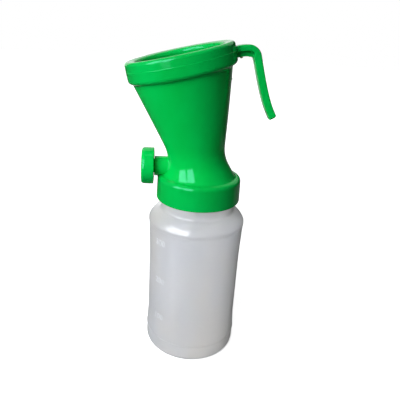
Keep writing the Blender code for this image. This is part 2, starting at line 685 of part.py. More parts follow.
def make_gasket(parts: bpy.types.Collection) -> bpy.types.Object:
    """The flat ring on the bottle's mouth, with eased corners."""
    inner = LEDGE_INNER_RADIUS + GASKET_INSET
    outer = COLLAR_BORE_RADIUS - 2.0 * SEAT_GAP
    low = MOUTH_Z + SEAT_GAP
    high = low + GASKET_THICKNESS
    profile = [
        (outer - EASE, high), (outer, high - EASE), (outer, low + EASE), (outer - EASE, low),
        (inner + EASE, low), (inner, low + EASE), (inner, high - EASE), (inner + EASE, high),
    ]
    gasket = turned("mouth_gasket", profile, parts, STEPS_MEDIUM, closed=True)
    smooth(gasket)
    gasket.data.materials.append(material("black_rubber", BLACK_RUBBER, 0.6))
    return gasket


@dataclass(frozen=True)
class InsertHeights:
    """Levels of the mixer insert, worked out from the socket's roof downwards."""

    top: float
    chamber_top: float
    seat: float
    tube_stop: float
    flange_top: float
    flange_low: float
    nozzle_low: float
    ball: float


def insert_heights() -> InsertHeights:
    top = SOCKET_ROOF_Z - SEAT_GAP
    chamber_top = top - RETAINER_THICKNESS - SEAT_GAP
    sunk = math.sqrt(BALL_RADIUS ** 2 - BALL_SEAT_RADIUS ** 2)
    ball = chamber_top - SEAT_GAP - BALL_LIFT - BALL_RADIUS
    seat = ball - sunk - BALL_REST_GAP
    flange_top = LEDGE_Z - SOCKET_LENGTH - SEAT_GAP
    flange_low = flange_top - INSERT_FLANGE_THICKNESS
    return InsertHeights(
        top=top, chamber_top=chamber_top, seat=seat, tube_stop=seat - BALL_SEAT_THICKNESS,
        flange_top=flange_top, flange_low=flange_low,
        nozzle_low=flange_low - INSERT_NOZZLE_LENGTH, ball=ball,
    )


def make_insert(parts: bpy.types.Collection, cutters: bpy.types.Collection) -> bpy.types.Object:
    """The mixer insert: ball chamber and seat above, tube grip below, air grooves down its side."""
    level = insert_heights()
    chamber = BALL_RADIUS + BALL_SIDE_GAP
    counterbore = chamber + RETAINER_LAND + SEAT_GAP
    grip = TUBE_RADIUS + SEAT_GAP
    nozzle = grip + INSERT_NOZZLE_WALL
    profile = [
        (counterbore, level.top), (INSERT_RADIUS - EASE, level.top), (INSERT_RADIUS, level.top - EASE),
        (INSERT_RADIUS, level.flange_top), (INSERT_FLANGE_RADIUS, level.flange_top),
        (INSERT_FLANGE_RADIUS, level.flange_low), (nozzle, level.flange_low),
        (nozzle - EASE, level.nozzle_low), (grip + EASE, level.nozzle_low),
        (grip, level.nozzle_low + TUBE_LEAD_IN), (grip, level.tube_stop), (BALL_SEAT_RADIUS, level.tube_stop),
        (BALL_SEAT_RADIUS, level.seat), (chamber, level.seat), (chamber, level.chamber_top),
        (counterbore, level.chamber_top),
    ]
    insert = turned("mixer_insert", profile, parts, STEPS_SMALL, closed=True)
    grooves = []
    height = level.top - level.flange_low + 2.0 * PAST
    for index in range(AIR_GROOVES):
        turn = Matrix.Rotation(2.0 * math.pi * (index + 0.5) / AIR_GROOVES, 4, "Z")
        reach = INSERT_FLANGE_RADIUS - INSERT_RADIUS + AIR_GROOVE_DEPTH + PAST
        middle = INSERT_RADIUS - AIR_GROOVE_DEPTH + reach / 2.0
        centre = turn @ Vector((middle, 0.0, (level.top + level.flange_low) / 2.0))
        size = Vector((reach, AIR_GROOVE_WIDTH, height))
        grooves.append(block(f"air_groove_{index + 1}", size, centre, cutters, turn))
    combine(insert, grooves, "DIFFERENCE")
    smooth(insert)
    insert.data.materials.append(material("white_plastic", WHITE, 0.4))
    return insert


def make_ball(parts: bpy.types.Collection) -> bpy.types.Object:
    """The ball on its seat; its origin is its centre."""
    work = bmesh.new()
    bmesh.ops.create_uvsphere(work, u_segments=12, v_segments=8, radius=BALL_RADIUS)
    mesh = bpy.data.meshes.new("check_ball")
    work.to_mesh(mesh)
    work.free()
    ball = add_object("check_ball", mesh, parts)
    ball.location = (0.0, 0.0, insert_heights().ball)
    smooth(ball, 60.0)
    ball.data.materials.append(material("ball_steel", STEEL, 0.25, 1.0))
    return ball


def make_retainer(parts: bpy.types.Collection, cutters: bpy.types.Collection) -> bpy.types.Object:
    """The pressed ring over the ball's chamber, with a cross that stops the ball."""
    level = insert_heights()
    low = level.chamber_top + SEAT_GAP
    high = low + RETAINER_THICKNESS
    outer = BALL_RADIUS + BALL_SIDE_GAP + RETAINER_LAND
    inner = outer - RETAINER_RING
    profile = [(outer, high), (outer, low), (inner, low), (inner, high)]
    ring = turned("ball_retainer", profile, parts, STEPS_SMALL, closed=True)
    centre = Vector((0.0, 0.0, (low + high) / 2.0))
    size = Vector((2.0 * (inner + BITE), RETAINER_BAR, RETAINER_THICKNESS * 0.8))
    bars = []
    for index in range(2):
        turn = Matrix.Rotation(0.5 * math.pi * index + RETAINER_TURN, 4, "Z")
        bars.append(block(f"retainer_bar_{index + 1}", size, centre, cutters, turn))
    combine(ring, bars, "UNION")
    smooth(ring)
    ring.data.materials.append(material("white_plastic", WHITE, 0.4))
    return ring


def make_dip_tube(parts: bpy.types.Collection, cutters: bpy.types.Collection) -> bpy.types.Object:
    """The dip tube, cut on the slant at its foot so that the base can't close it."""
    high = insert_heights().tube_stop - SEAT_GAP
    low = BOTTLE_WALL + TUBE_FLOOR_GAP
    inner = TUBE_RADIUS - TUBE_WALL
    profile = [(TUBE_RADIUS, high), (TUBE_RADIUS, low), (inner, low), (inner, high)]
    tube = turned("dip_tube", profile, parts, STEPS_SMALL, closed=True)
    angle = math.radians(TUBE_CUT_DEG)
    size = 8.0 * TUBE_RADIUS * Vector((1.0, 1.0, 1.0))
    turn = Matrix.Rotation(-angle, 4, "Y")
    lift = low + TUBE_RADIUS * math.tan(angle)
    centre = Vector((0.0, 0.0, lift)) + turn @ Vector((0.0, 0.0, -0.5 * size.z))
    combine(tube, (block("slant_cut", size, centre, cutters, turn),), "DIFFERENCE")
    smooth(tube)
    tube.data.materials.append(material("natural_plastic", NATURAL, 0.3))
    return tube


def side_turned(
    name: str, profile: Sequence[Point], parts: bpy.types.Collection, steps: int, closed: bool
) -> bpy.types.Object:
    """A turned piece laid on the plug's axis: the profile's height runs outwards, towards -X."""
    obj = turned(name, profile, parts, steps, closed)
    obj.location = (0.0, 0.0, PLUG_Z)
    obj.rotation_euler = (0.0, -0.5 * math.pi, 0.0)
    return obj


def make_plug(parts: bpy.types.Collection, cutters: bpy.types.Collection) -> bpy.types.Object:
    """The side plug: a cored knob, a sealing groove and an open-ended barrel with windows for the foam."""
    hub_face = SPIGOT_REACH + SEAT_GAP
    knob_face = hub_face + KNOB_THICKNESS
    core = KNOB_RADIUS - KNOB_WALL
    shank = PLUG_SHANK_RADIUS
    barrel = shank - BARREL_WALL
    barrel_end = BARREL_END_GAP - BORE_DEPTH
    groove_mid = SPIGOT_REACH - PLUG_O_RING_INSET
    groove_half = PLUG_O_RING_TUBE + SEAT_GAP
    groove_floor = PLUG_O_RING_RADIUS - PLUG_O_RING_TUBE - SEAT_GAP
    sponge_seat = 0.5 * SPONGE_LENGTH + SEAT_GAP
    profile: list[Point] = [(0.0, knob_face)]
    profile += reversed(arc((KNOB_RADIUS - KNOB_FILLET, knob_face - KNOB_FILLET), KNOB_FILLET, 0.0, 90.0, 5))
    profile += [(KNOB_RADIUS, hub_face + KNOB_EASE), (KNOB_RADIUS - KNOB_EASE, hub_face), (core, hub_face)]
    profile += [(core - EASE, knob_face - KNOB_FACE), (KNOB_HUB_RADIUS, knob_face - KNOB_FACE)]
    profile += [(KNOB_HUB_RADIUS, hub_face), (shank, hub_face)]
    profile += [(shank, groove_mid + groove_half), (groove_floor, groove_mid + groove_half)]
    profile += [(groove_floor, groove_mid - groove_half), (shank, groove_mid - groove_half)]
    profile += [(shank, barrel_end + EASE), (shank - EASE, barrel_end), (barrel, barrel_end)]
    profile += [(barrel, sponge_seat), (0.0, sponge_seat)]
    plug = side_turned("foam_plug", profile, parts, STEPS_MEDIUM, closed=False)
    window_from = WAIST_SHIFT - OUTLET_RADIUS
    window_to = PORT_RADIUS
    window = block(
        "barrel_window", Vector((window_to - window_from, BARREL_WINDOW_WIDTH, 4.0 * shank)),
        Vector(((window_from + window_to) / 2.0, 0.0, PLUG_Z)), cutters,
    )
    depth = KNOB_THICKNESS - KNOB_FACE
    rib_size = Vector((depth, KNOB_RIB, 2.0 * (core + BITE)))
    rib_centre = Vector((-(hub_face + KNOB_EASE + depth / 2.0), 0.0, PLUG_Z))
    ribs = []
    for index in range(2):
        turn = Matrix.Rotation((0.5 * index + 0.25) * math.pi, 4, "X")
        ribs.append(block(f"knob_rib_{index + 1}", rib_size, rib_centre, cutters, turn))
    combine(plug, ribs, "UNION")
    combine(plug, (window,), "DIFFERENCE")
    smooth(plug)
    plug.data.materials.append(material("green_gloss_plastic", GREEN, 0.22))
    return plug


def make_plug_seal(parts: bpy.types.Collection) -> bpy.types.Object:
    """The round ring in the plug's groove."""
    middle = SPIGOT_REACH - PLUG_O_RING_INSET
    profile = arc((PLUG_O_RING_RADIUS, middle), PLUG_O_RING_TUBE, 0.0, -315.0, 7)
    ring = side_turned("plug_o_ring", profile, parts, STEPS_SMALL, closed=True)
    smooth(ring, 60.0)
    ring.data.materials.append(material("black_rubber", BLACK_RUBBER, 0.6))
    return ring


def make_sponge(parts: bpy.types.Collection) -> bpy.types.Object:
    """The foaming sponge, a roll in the plug's barrel."""
    radius = PLUG_SHANK_RADIUS - BARREL_WALL - SEAT_GAP
    half = 0.5 * SPONGE_LENGTH
    profile = [
        (0.0, half), (radius - EASE, half), (radius, half - EASE),
        (radius, EASE - half), (radius - EASE, -half), (0.0, -half),
    ]
    sponge = side_turned("foam_sponge", profile, parts, STEPS_SMALL, closed=False)
    smooth(sponge)
    sponge.data.materials.append(material("foam_grey", FOAM_GREY, 0.9))
    return sponge


def make_screen(parts: bpy.types.Collection) -> bpy.types.Object:
    """The fine mesh disc under the outlet grid."""
    radius = GRID_SKIRT_RADIUS - GRID_SKIRT_WALL - SEAT_GAP
    high = FLOOR_Z
    low = high - SCREEN_THICKNESS
    profile = [(0.0, high), (radius, high), (radius, low), (0.0, low)]
    screen = turned("outlet_screen", profile, parts, STEPS_SMALL)
    screen.location.x = WAIST_SHIFT
    smooth(screen)
    screen.data.materials.append(material("mesh_steel", STEEL, 0.4, 1.0))
    return screen


def make_grid(parts: bpy.types.Collection, cutters: bpy.types.Collection) -> bpy.types.Object:
    """The slotted cap in the cup's floor: a crowned disc on a skirt that presses into the well."""
    low = FLOOR_Z + SEAT_GAP
    high = low + GRID_THICKNESS
    skirt_inner = GRID_SKIRT_RADIUS - GRID_SKIRT_WALL
    skirt_low = FLOOR_Z - OUTLET_WELL_DEPTH + SEAT_GAP
    profile: list[Point] = [(0.0, high + GRID_CROWN), (0.4 * GRID_RADIUS, high + 0.85 * GRID_CROWN)]
    profile += [(0.75 * GRID_RADIUS, high + 0.35 * GRID_CROWN), (GRID_RADIUS - GRID_EDGE, high)]
    profile += [(GRID_RADIUS, high - GRID_EDGE), (GRID_RADIUS, low), (GRID_SKIRT_RADIUS, low)]
    profile += [(GRID_SKIRT_RADIUS, skirt_low), (skirt_inner, skirt_low), (skirt_inner, low), (0.0, low)]
    grid = turned("outlet_grid", profile, parts, STEPS_SMALL)
    grid.location.x = WAIST_SHIFT
    middle = Vector((WAIST_SHIFT, 0.0, (low + high) / 2.0))
    outward = Vector(((GRID_SLOT_FROM + GRID_SLOT_TO) / 2.0, 0.0, 0.0))
    size = Vector((GRID_SLOT_TO - GRID_SLOT_FROM, GRID_SLOT_WIDTH, 4.0 * GRID_THICKNESS))
    slots = []
    for index in range(GRID_SLOTS):
        turn = Matrix.Rotation(2.0 * math.pi * index / GRID_SLOTS, 4, "Z")
        slots.append(block(f"grid_slot_{index + 1}", size, middle + turn @ outward, cutters, turn))
    combine(grid, slots, "DIFFERENCE")
    smooth(grid)
    grid.data.materials.append(material("white_plastic", WHITE, 0.4))
    return grid


def main() -> None:
    clear_scene()
    parts = new_collection("teat_dip_cup")
    cutters = new_collection("cutters")
    make_bottle(parts)
    make_head(parts, cutters)
    make_gasket(parts)
    make_insert(parts, cutters)
    make_ball(parts)
    make_retainer(parts, cutters)
    make_dip_tube(parts, cutters)
    make_plug(parts, cutters)
    make_plug_seal(parts)
    make_sponge(parts)
    make_screen(parts)
    make_grid(parts, cutters)


main()
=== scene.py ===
"""Looks of the foaming teat dip cup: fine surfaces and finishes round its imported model, in a soft studio.

Metres, +Z up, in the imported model's frame. The bottle's axis is Z, the hook is at +X and the plug at -X.
"""

import logging
import math
from dataclasses import dataclass, field
from enum import Enum
from typing import Any, Sequence

import bmesh
import bpy
import numpy as np
from mathutils import Matrix, Vector


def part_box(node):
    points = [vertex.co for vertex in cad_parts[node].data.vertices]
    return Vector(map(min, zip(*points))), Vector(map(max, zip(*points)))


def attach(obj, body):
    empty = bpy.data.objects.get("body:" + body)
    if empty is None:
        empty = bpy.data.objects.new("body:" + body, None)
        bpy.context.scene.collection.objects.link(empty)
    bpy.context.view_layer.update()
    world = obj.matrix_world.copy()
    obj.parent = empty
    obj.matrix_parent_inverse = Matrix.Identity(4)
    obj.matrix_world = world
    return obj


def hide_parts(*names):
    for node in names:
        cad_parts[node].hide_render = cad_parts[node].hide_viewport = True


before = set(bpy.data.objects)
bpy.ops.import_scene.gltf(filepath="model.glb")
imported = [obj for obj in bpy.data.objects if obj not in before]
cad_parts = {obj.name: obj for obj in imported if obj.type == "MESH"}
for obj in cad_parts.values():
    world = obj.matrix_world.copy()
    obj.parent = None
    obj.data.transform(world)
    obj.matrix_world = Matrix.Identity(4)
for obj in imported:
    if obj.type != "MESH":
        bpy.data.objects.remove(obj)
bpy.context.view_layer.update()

LOG = logging.getLogger("teat_dip_cup")

Array = np.ndarray
Colour = tuple[float, float, float]

SEAT_GAP = 0.0003        # between faces that touch on the real object
WELD = 1e-6              # points closer than this are one point
SUNK = 0.00015           # how deep a raised detail is rooted in its surface
NOISE_SPAN = (0.35, 0.7)  # between these a noise nearly always lies
WHITE_LIGHT = (1.0, 1.0, 1.0, 1.0)


class Body(Enum):
    """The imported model's moving bodies."""

    BOTTLE = "bottle"
    SEAL = "seal"
    HEAD = "head"
    CHECK_VALVE = "check_valve"
    PLUG_SEAL = "plug_seal"
    PLUG = "plug"


class Operation(Enum):
    """Ways to combine two solids."""

    JOIN = "UNION"
    CUT = "DIFFERENCE"


def arc(centre: tuple[float, float], radius: float, start_deg: float, end_deg: float, steps: int) -> Array:
    """Points of a circular arc in a profile's plane.

    Args:
        centre: The arc's centre as (radius, height).
        radius: The arc's radius.
        start_deg: First angle, from the radius axis towards the height axis.
        end_deg: Last angle.
        steps: Number of chords.

    Returns:
        An array of (steps + 1, 2): centre + radius * (cos a, sin a).
    """
    angle = np.radians(np.linspace(start_deg, end_deg, steps + 1))
    return np.asarray(centre) + radius * np.stack([np.cos(angle), np.sin(angle)], axis=-1)


def quadratic(start: Array, corner: Array, end: Array, share: Array) -> Array:
    """A quadratic curve (1-t)^2 A + 2t(1-t) C + t^2 B.

    Args:
        start: A, where the curve begins.
        corner: C, which it leans towards.
        end: B, where it ends.
        share: t, from 0 to 1.

    Returns:
        Points in the arrays' common shape.
    """
    return (1.0 - share) ** 2 * start + 2.0 * share * (1.0 - share) * corner + share ** 2 * end


def rounded(corners: Array, setbacks: Sequence[float], steps: int = 4) -> Array:
    """Corners turned into short quadratic curves.

    Each corner C becomes a quadratic curve from A to B, which lie on its two edges at the setback.

    Args:
        corners: Points (..., n, k), taken as a closed loop; an open path gives its ends a setback of 0.
        setbacks: One distance for each corner, limited to 45 % of each edge.
        steps: Chords in each curve.

    Returns:
        Points (..., n * (steps + 1), k).
    """
    longest_share = 0.45
    reach = np.asarray(setbacks, float)[:, None]
    ends = []
    for neighbour in (np.roll(corners, 1, axis=-2), np.roll(corners, -1, axis=-2)):
        edge = neighbour - corners
        length = np.maximum(np.linalg.norm(edge, axis=-1, keepdims=True), WELD)
        ends.append(corners + edge / length * np.minimum(reach, longest_share * length))
    share = np.linspace(0.0, 1.0, steps + 1)[:, None]
    curve = quadratic(ends[0][..., None, :], corners[..., None, :], ends[1][..., None, :], share)
    return curve.reshape(*corners.shape[:-2], -1, corners.shape[-1])


def spline(points: Array, steps: int) -> Array:
    """A smooth curve through points: each span is a cubic with the slopes of its neighbours' chords.

    Args:
        points: Points (n, k) on the curve.
        steps: Chords in each span.

    Returns:
        Points ((n - 1) * steps + 1, k).
    """
    padded = np.vstack([2.0 * points[0] - points[1], points, 2.0 * points[-1] - points[-2]])
    before, start, end, after = (padded[place:len(padded) - 3 + place, None] for place in range(4))
    share = (np.arange(steps) / steps)[None, :, None]
    curve = 0.5 * (
        2.0 * start + (end - before) * share
        + (2.0 * before - 5.0 * start + 4.0 * end - after) * share ** 2
        + (3.0 * start - before - 3.0 * end + after) * share ** 3
    )
    return np.vstack([curve.reshape(-1, points.shape[1]), points[-1:]])


def braced(path: Array, near: float = 0.0002) -> Array:
    """A path whose long chords each get two more points near their ends, so that flats shade flat.

    Args:
        path: Points (n, 2).
        near: Distance of the new points from the chord's ends.

    Returns:
        The path with points A + near * u and B - near * u in each chord AB longer than 4 * near.
    """
    chord = np.diff(path, axis=0)
    length = np.maximum(np.linalg.norm(chord, axis=1, keepdims=True), WELD)
    step = chord / length * near
    split = length[:, 0] > 4.0 * near
    kept = np.stack([np.ones_like(split), split, split], axis=1)
    points = np.stack([path[:-1], path[:-1] + step, path[1:] - step], axis=1)
    return np.vstack([points[kept], path[-1:]])


def smoothstep(value: Array) -> Array:
    """0 below 0, 1 above 1 and 3v^2 - 2v^3 between."""
    held = np.clip(value, 0.0, 1.0)
    return held * held * (3.0 - 2.0 * held)


def turns(columns: int) -> Array:
    """Evenly spaced angles round a full circle."""
    return np.linspace(0.0, 2.0 * np.pi, columns, endpoint=False)


def upright(profile: Array, columns: int, centre_x: float = 0.0) -> Array:
    """A profile turned about a vertical axis.

    Args:
        profile: Points (n, 2) as (radius, height).
        columns: Points round the circle.
        centre_x: Where the axis stands on X.

    Returns:
        A grid (n, columns, 3) of (centre_x + r cos a, r sin a, z).
    """
    angle = turns(columns)
    radius = profile[:, :1]
    height = np.broadcast_to(profile[:, 1:], (len(profile), columns))
    return np.stack([centre_x + radius * np.cos(angle), radius * np.sin(angle), height], axis=-1)


def sideways(profile: Array, columns: int, axis_z: float) -> Array:
    """A profile turned about a level axis along X.

    Args:
        profile: Points (n, 2) as (radius, distance towards -X).
        columns: Points round the circle.
        axis_z: The axis's height.

    Returns:
        A grid (n, columns, 3) of (-distance, r cos a, axis_z + r sin a).
    """
    angle = turns(columns)
    radius = profile[:, :1]
    out = np.broadcast_to(-profile[:, 1:], (len(profile), columns))
    return np.stack([out, radius * np.cos(angle), axis_z + radius * np.sin(angle)], axis=-1)


def capped(grid: Array) -> Array:
    """A grid closed at both ends.

    Args:
        grid: A grid (rows, columns, 3) whose columns close round.

    Returns:
        The grid with one more row at each end, whose points all lie at the end round's middle.
    """
    first = np.broadcast_to(grid[:1].mean(axis=1, keepdims=True), grid[:1].shape)
    last = np.broadcast_to(grid[-1:].mean(axis=1, keepdims=True), grid[-1:].shape)
    return np.concatenate([first, grid, last])


def box_grid(low: Sequence[float], high: Sequence[float], edge: float, turn: Matrix | None = None) -> Array:
    """A closed block with rounded upright edges.

    Args:
        low: Lowest corner.
        high: Highest corner.
        edge: Setback of the upright edges.
        turn: A matrix applied to the points, for a block that is placed askew.

    Returns:
        A capped grid of its outline at the lower and the upper end.
    """
    outline = np.array([(low[0], low[1]), (high[0], low[1]), (high[0], high[1]), (low[0], high[1])])
    outline = rounded(outline, (edge,) * 4)
    rows = [np.column_stack([outline, np.full(len(outline), height)]) for height in (low[2], high[2])]
    grid = capped(np.stack(rows))
    if turn is not None:
        matrix = np.array(turn)
        grid = grid @ matrix[:3, :3].T + matrix[:3, 3]
    return grid


def bead(centre: tuple[float, float, float], radii: tuple[float, float, float]) -> Array:
    """A small closed egg.

    Args:
        centre: Its middle.
        radii: Its half axes.

    Returns:
        A capped grid: at latitude p, sin(p) sideways and -cos(p) upwards, each times that way's half axis.
    """
    columns, rows, pole_gap = 16, 9, 0.2
    angle = turns(columns)
    latitude = np.linspace(pole_gap, np.pi - pole_gap, rows)[:, None]
    aside = np.sin(latitude)
    up = np.broadcast_to(-np.cos(latitude), (rows, columns))
    unit = np.stack([aside * np.cos(angle), aside * np.sin(angle), up], axis=-1)
    return capped(np.array(centre) + unit * radii)


def mesh_from(name: str, grids: Sequence[Array], wrap_rows: bool = False) -> bpy.types.Mesh:
    """One mesh from grids whose columns close round, welded, with its faces pointing outwards.

    Args:
        name: The mesh's name.
        grids: Grids (rows, columns, 3).
        wrap_rows: Whether the last row joins the first, as on a ring.

    Returns:
        The finished mesh.
    """
    points, faces, start = [], [], 0
    for grid in grids:
        rows, columns = grid.shape[:2]
        index = np.arange(rows * columns).reshape(rows, columns) + start
        start += rows * columns
        index = np.hstack([index, index[:, :1]])
        if wrap_rows:
            index = np.vstack([index, index[:1]])
        quads = np.stack([index[:-1, :-1], index[:-1, 1:], index[1:, 1:], index[1:, :-1]], axis=-1)
        points.append(grid.reshape(-1, 3))
        faces.append(quads.reshape(-1, 4))
    vertices = np.concatenate(points)
    quads = np.concatenate(faces)
    mesh = bpy.data.meshes.new(name)
    mesh.vertices.add(len(vertices))
    mesh.vertices.foreach_set("co", vertices.astype(np.float32).ravel())
    mesh.loops.add(quads.size)
    mesh.loops.foreach_set("vertex_index", quads.astype(np.int32).ravel())
    mesh.polygons.add(len(quads))
    mesh.polygons.foreach_set("loop_start", np.arange(0, quads.size, 4, dtype=np.int32))
    mesh.update(calc_edges=True)
    tidy(mesh)
    return mesh


def tidy(mesh: bpy.types.Mesh) -> None:
    """Weld a mesh's doubled points, drop what has no area and point its faces outwards.

    Args:
        mesh: The mesh that is changed.
    """
    work = bmesh.new()
    work.from_mesh(mesh)
    bmesh.ops.remove_doubles(work, verts=work.verts, dist=WELD)
    bmesh.ops.dissolve_degenerate(work, edges=work.edges, dist=WELD)
    bmesh.ops.recalc_face_normals(work, faces=work.faces)
    work.to_mesh(mesh)
    work.free()


def smooth(mesh: bpy.types.Mesh, sharp_deg: float = 38.0) -> None:
    """Shade a mesh smooth, apart from edges that turn more than sharp_deg."""
    mesh.shade_smooth()
    mesh.set_sharp_from_angle(angle=math.radians(sharp_deg))


def linked(name: str, data: bpy.types.ID) -> bpy.types.Object:
    """A new object in the scene.

    Args:
        name: The object's name.
        data: Its mesh, curve, lamp or camera.

    Returns:
        The new object, at the origin.
    """
    thing = bpy.data.objects.new(name, data)
    bpy.context.scene.collection.objects.link(thing)
    return thing


def evaluated_mesh(thing: bpy.types.Object) -> bpy.types.Mesh:
    """A new mesh of an object as it stands, with its modifiers applied."""
    bpy.context.view_layer.update()
    return bpy.data.meshes.new_from_object(thing.evaluated_get(bpy.context.evaluated_depsgraph_get()))


def solid(name: str, grids: Sequence[Array], wrap_rows: bool = False) -> bpy.types.Object:
    """A new object in the scene from closed grids."""
    return linked(name, mesh_from(name, grids, wrap_rows))


def combine(thing: bpy.types.Object, tools: Sequence[bpy.types.Object], operation: Operation) -> None:
    """Join or cut a solid with others, which are then removed.

    Args:
        thing: The solid that is kept.
        tools: The solids that are joined to it or cut out of it.
        operation: Which of the two.
    """
    for tool in tools:
        modifier = thing.modifiers.new(operation.name, "BOOLEAN")
        modifier.operation = operation.value
        modifier.solver = "EXACT"
        modifier.object = tool
    mesh = evaluated_mesh(thing)
    thing.modifiers.clear()
    thing.data = mesh
    for tool in tools:
        bpy.data.objects.remove(tool, do_unlink=True)
    tidy(mesh)


class Recipe:
    """Nodes of a material or a world, added one by one."""

    def __init__(self, tree: bpy.types.NodeTree) -> None:
        """Start from an empty tree."""
        tree.nodes.clear()
        self.tree = tree

    def add(self, kind: str, inputs: dict[str | int, Any] | None = None, **settings: Any) -> bpy.types.Node:
        """Add a node.

        Args:
            kind: The node type's name without its Shader prefix.
            inputs: Values or output sockets, by the name or the number of the input.
            settings: The node's own settings.

        Returns:
            The new node.
        """
        node = self.tree.nodes.new(f"Shader{kind}")
        for key, value in settings.items():
            setattr(node, key, value)
        for key, value in (inputs or {}).items():
            if isinstance(value, bpy.types.NodeSocket):
                self.tree.links.new(value, node.inputs[key])
            else:
                node.inputs[key].default_value = value
        return node

    def math(self, operation: str, *values: Any) -> bpy.types.NodeSocket:
        """The result of a Math node."""
        return self.add("NodeMath", dict(enumerate(values)), operation=operation).outputs[0]

    def place(self) -> bpy.types.NodeSocket:
        """The point's place in the object's own frame."""
        return self.add("NodeTexCoord").outputs["Object"]

    def bump(self, depth: float, height: bpy.types.NodeSocket) -> bpy.types.NodeSocket:
        """The normal of a relief whose height of 1 is that depth in metres."""
        return self.add("NodeBump", {"Strength": 1.0, "Distance": depth, "Height": height}).outputs[0]

    def noise(self, place: bpy.types.NodeSocket, scale: float, detail: float = 2.0) -> bpy.types.NodeSocket:
        """A noise between 0 and 1; scale is in features a metre."""
        node = self.add("NodeTexNoise", {"Vector": place, "Scale": scale, "Detail": detail})
        return node.outputs["Fac"]

    def span(
        self, value: Any, low: float, high: float, to_low: float = 0.0, to_high: float = 1.0
    ) -> bpy.types.NodeSocket:
        """A value mapped from one span to another, held at both ends."""
        inputs = {0: value, 1: low, 2: high, 3: to_low, 4: to_high}
        return self.add("NodeMapRange", inputs).outputs[0]

    def towards(
        self, x: bpy.types.NodeSocket, y: bpy.types.NodeSocket, azimuth_deg: float
    ) -> bpy.types.NodeSocket:
        """The product of (x, y) with a direction.

        Args:
            x: First coordinate.
            y: Second coordinate.
            azimuth_deg: The direction's angle from -y towards +x.

        Returns:
            The socket of x * sin(azimuth) - y * cos(azimuth).
        """
        azimuth = math.radians(azimuth_deg)
        along_x = self.math("MULTIPLY", x, math.sin(azimuth))
        return self.math("ADD", along_x, self.math("MULTIPLY", y, -math.cos(azimuth)))

    def ramp(
        self, value: Any, places: tuple[float, float], colours: tuple[Colour, Colour]
    ) -> bpy.types.NodeSocket:
        """A colour that runs from one colour to another.

        Args:
            value: The socket or number that is looked up.
            places: Where the run starts and ends, from 0 to 1.
            colours: The colours at its two ends.

        Returns:
            The colour socket.
        """
        node = self.add("NodeValToRGB", {0: value})
        for element, place, colour in zip(node.color_ramp.elements, places, colours):
            element.position = place
            element.color = (*colour, 1.0)
        return node.outputs[0]


def centred_place(recipe: Recipe, stretch: Colour = (1.0, 1.0, 1.0)) -> bpy.types.NodeSocket:
    """Object coordinates, stretched by a Mapping node so that marks can run along the mould's flow."""
    return recipe.add("NodeMapping", {"Vector": recipe.place(), "Scale": stretch}).outputs[0]


@dataclass(frozen=True)
class Finish:
    """What every finish has: a name, and a material that is made once."""

    name: str

    def material(self) -> bpy.types.Material:
        """The finish as a material, made at its first use.

        Returns:
            The material, the same one at every call.
        """
        made = bpy.data.materials.get(self.name)
        if made is None:
            made = bpy.data.materials.new(self.name)
            made.use_nodes = True
            recipe = Recipe(made.node_tree)
            shader = self.shader(recipe)
            recipe.add("NodeOutputMaterial", {"Surface": shader.outputs[0]})
        return made

    def shader(self, recipe: Recipe) -> bpy.types.Node:
        """The finish's own shader node."""
        raise NotImplementedError


@dataclass(frozen=True)
class MouldedPlastic(Finish):
    """Injection-moulded plastic: slight clouds of colour, a fine skin and uneven gloss.

    The colour runs between two near tones along a noise that flow stretches, as pigment does where the melt
    flowed. Scales are in features a metre and depths in metres. A span holds the noise's values at two tones.
    """

    light: Colour
    deep: Colour
    roughness: tuple[float, float] = (0.08, 0.15)
    specular: float = 0.36
    tint: Colour = (1.0, 1.0, 1.0)
    skin_depth: float = 0.000004
    cloud_scale: float = 42.0
    skin_scale: float = 900.0
    subsurface: float = 0.0
    transmission: float = 0.0
    ior: float = 1.49
    spread: float = 0.002
    spread_share: Colour = (0.6, 1.0, 0.6)
    flow: Colour = (1.0, 1.0, 0.45)
    cloud_span: tuple[float, float] = (0.36, 0.66)
    gloss_scale: float = 110.0

    def shader(self, recipe: Recipe) -> bpy.types.Node:
        """A Principled shader with clouded colour, uneven gloss and a fine skin.

        Args:
            recipe: The material's nodes.

        Returns:
            The Principled node.
        """
        place = centred_place(recipe, self.flow)
        colour = self.tone(recipe, place)
        gloss = recipe.span(recipe.noise(place, self.gloss_scale, detail=4.0), *NOISE_SPAN, *self.roughness)
        skin = recipe.noise(recipe.place(), self.skin_scale)
        inputs = {
            "Base Color": colour, "Roughness": gloss, "Normal": recipe.bump(self.skin_depth, skin),
            "IOR": self.ior, "Specular IOR Level": self.specular, "Specular Tint": (*self.tint, 1.0),
            "Subsurface Weight": self.subsurface, "Subsurface Scale": self.spread,
            "Subsurface Radius": self.spread_share, "Transmission Weight": self.transmission,
        }
        return recipe.add("NodeBsdfPrincipled", inputs)

    def tone(self, recipe: Recipe, place: bpy.types.NodeSocket) -> bpy.types.NodeSocket:
        """The colour, from the deeper tone to the lighter one along the clouds."""
        clouds = recipe.noise(place, self.cloud_scale, detail=3.0)
        return recipe.ramp(clouds, self.cloud_span, (self.deep, self.light))


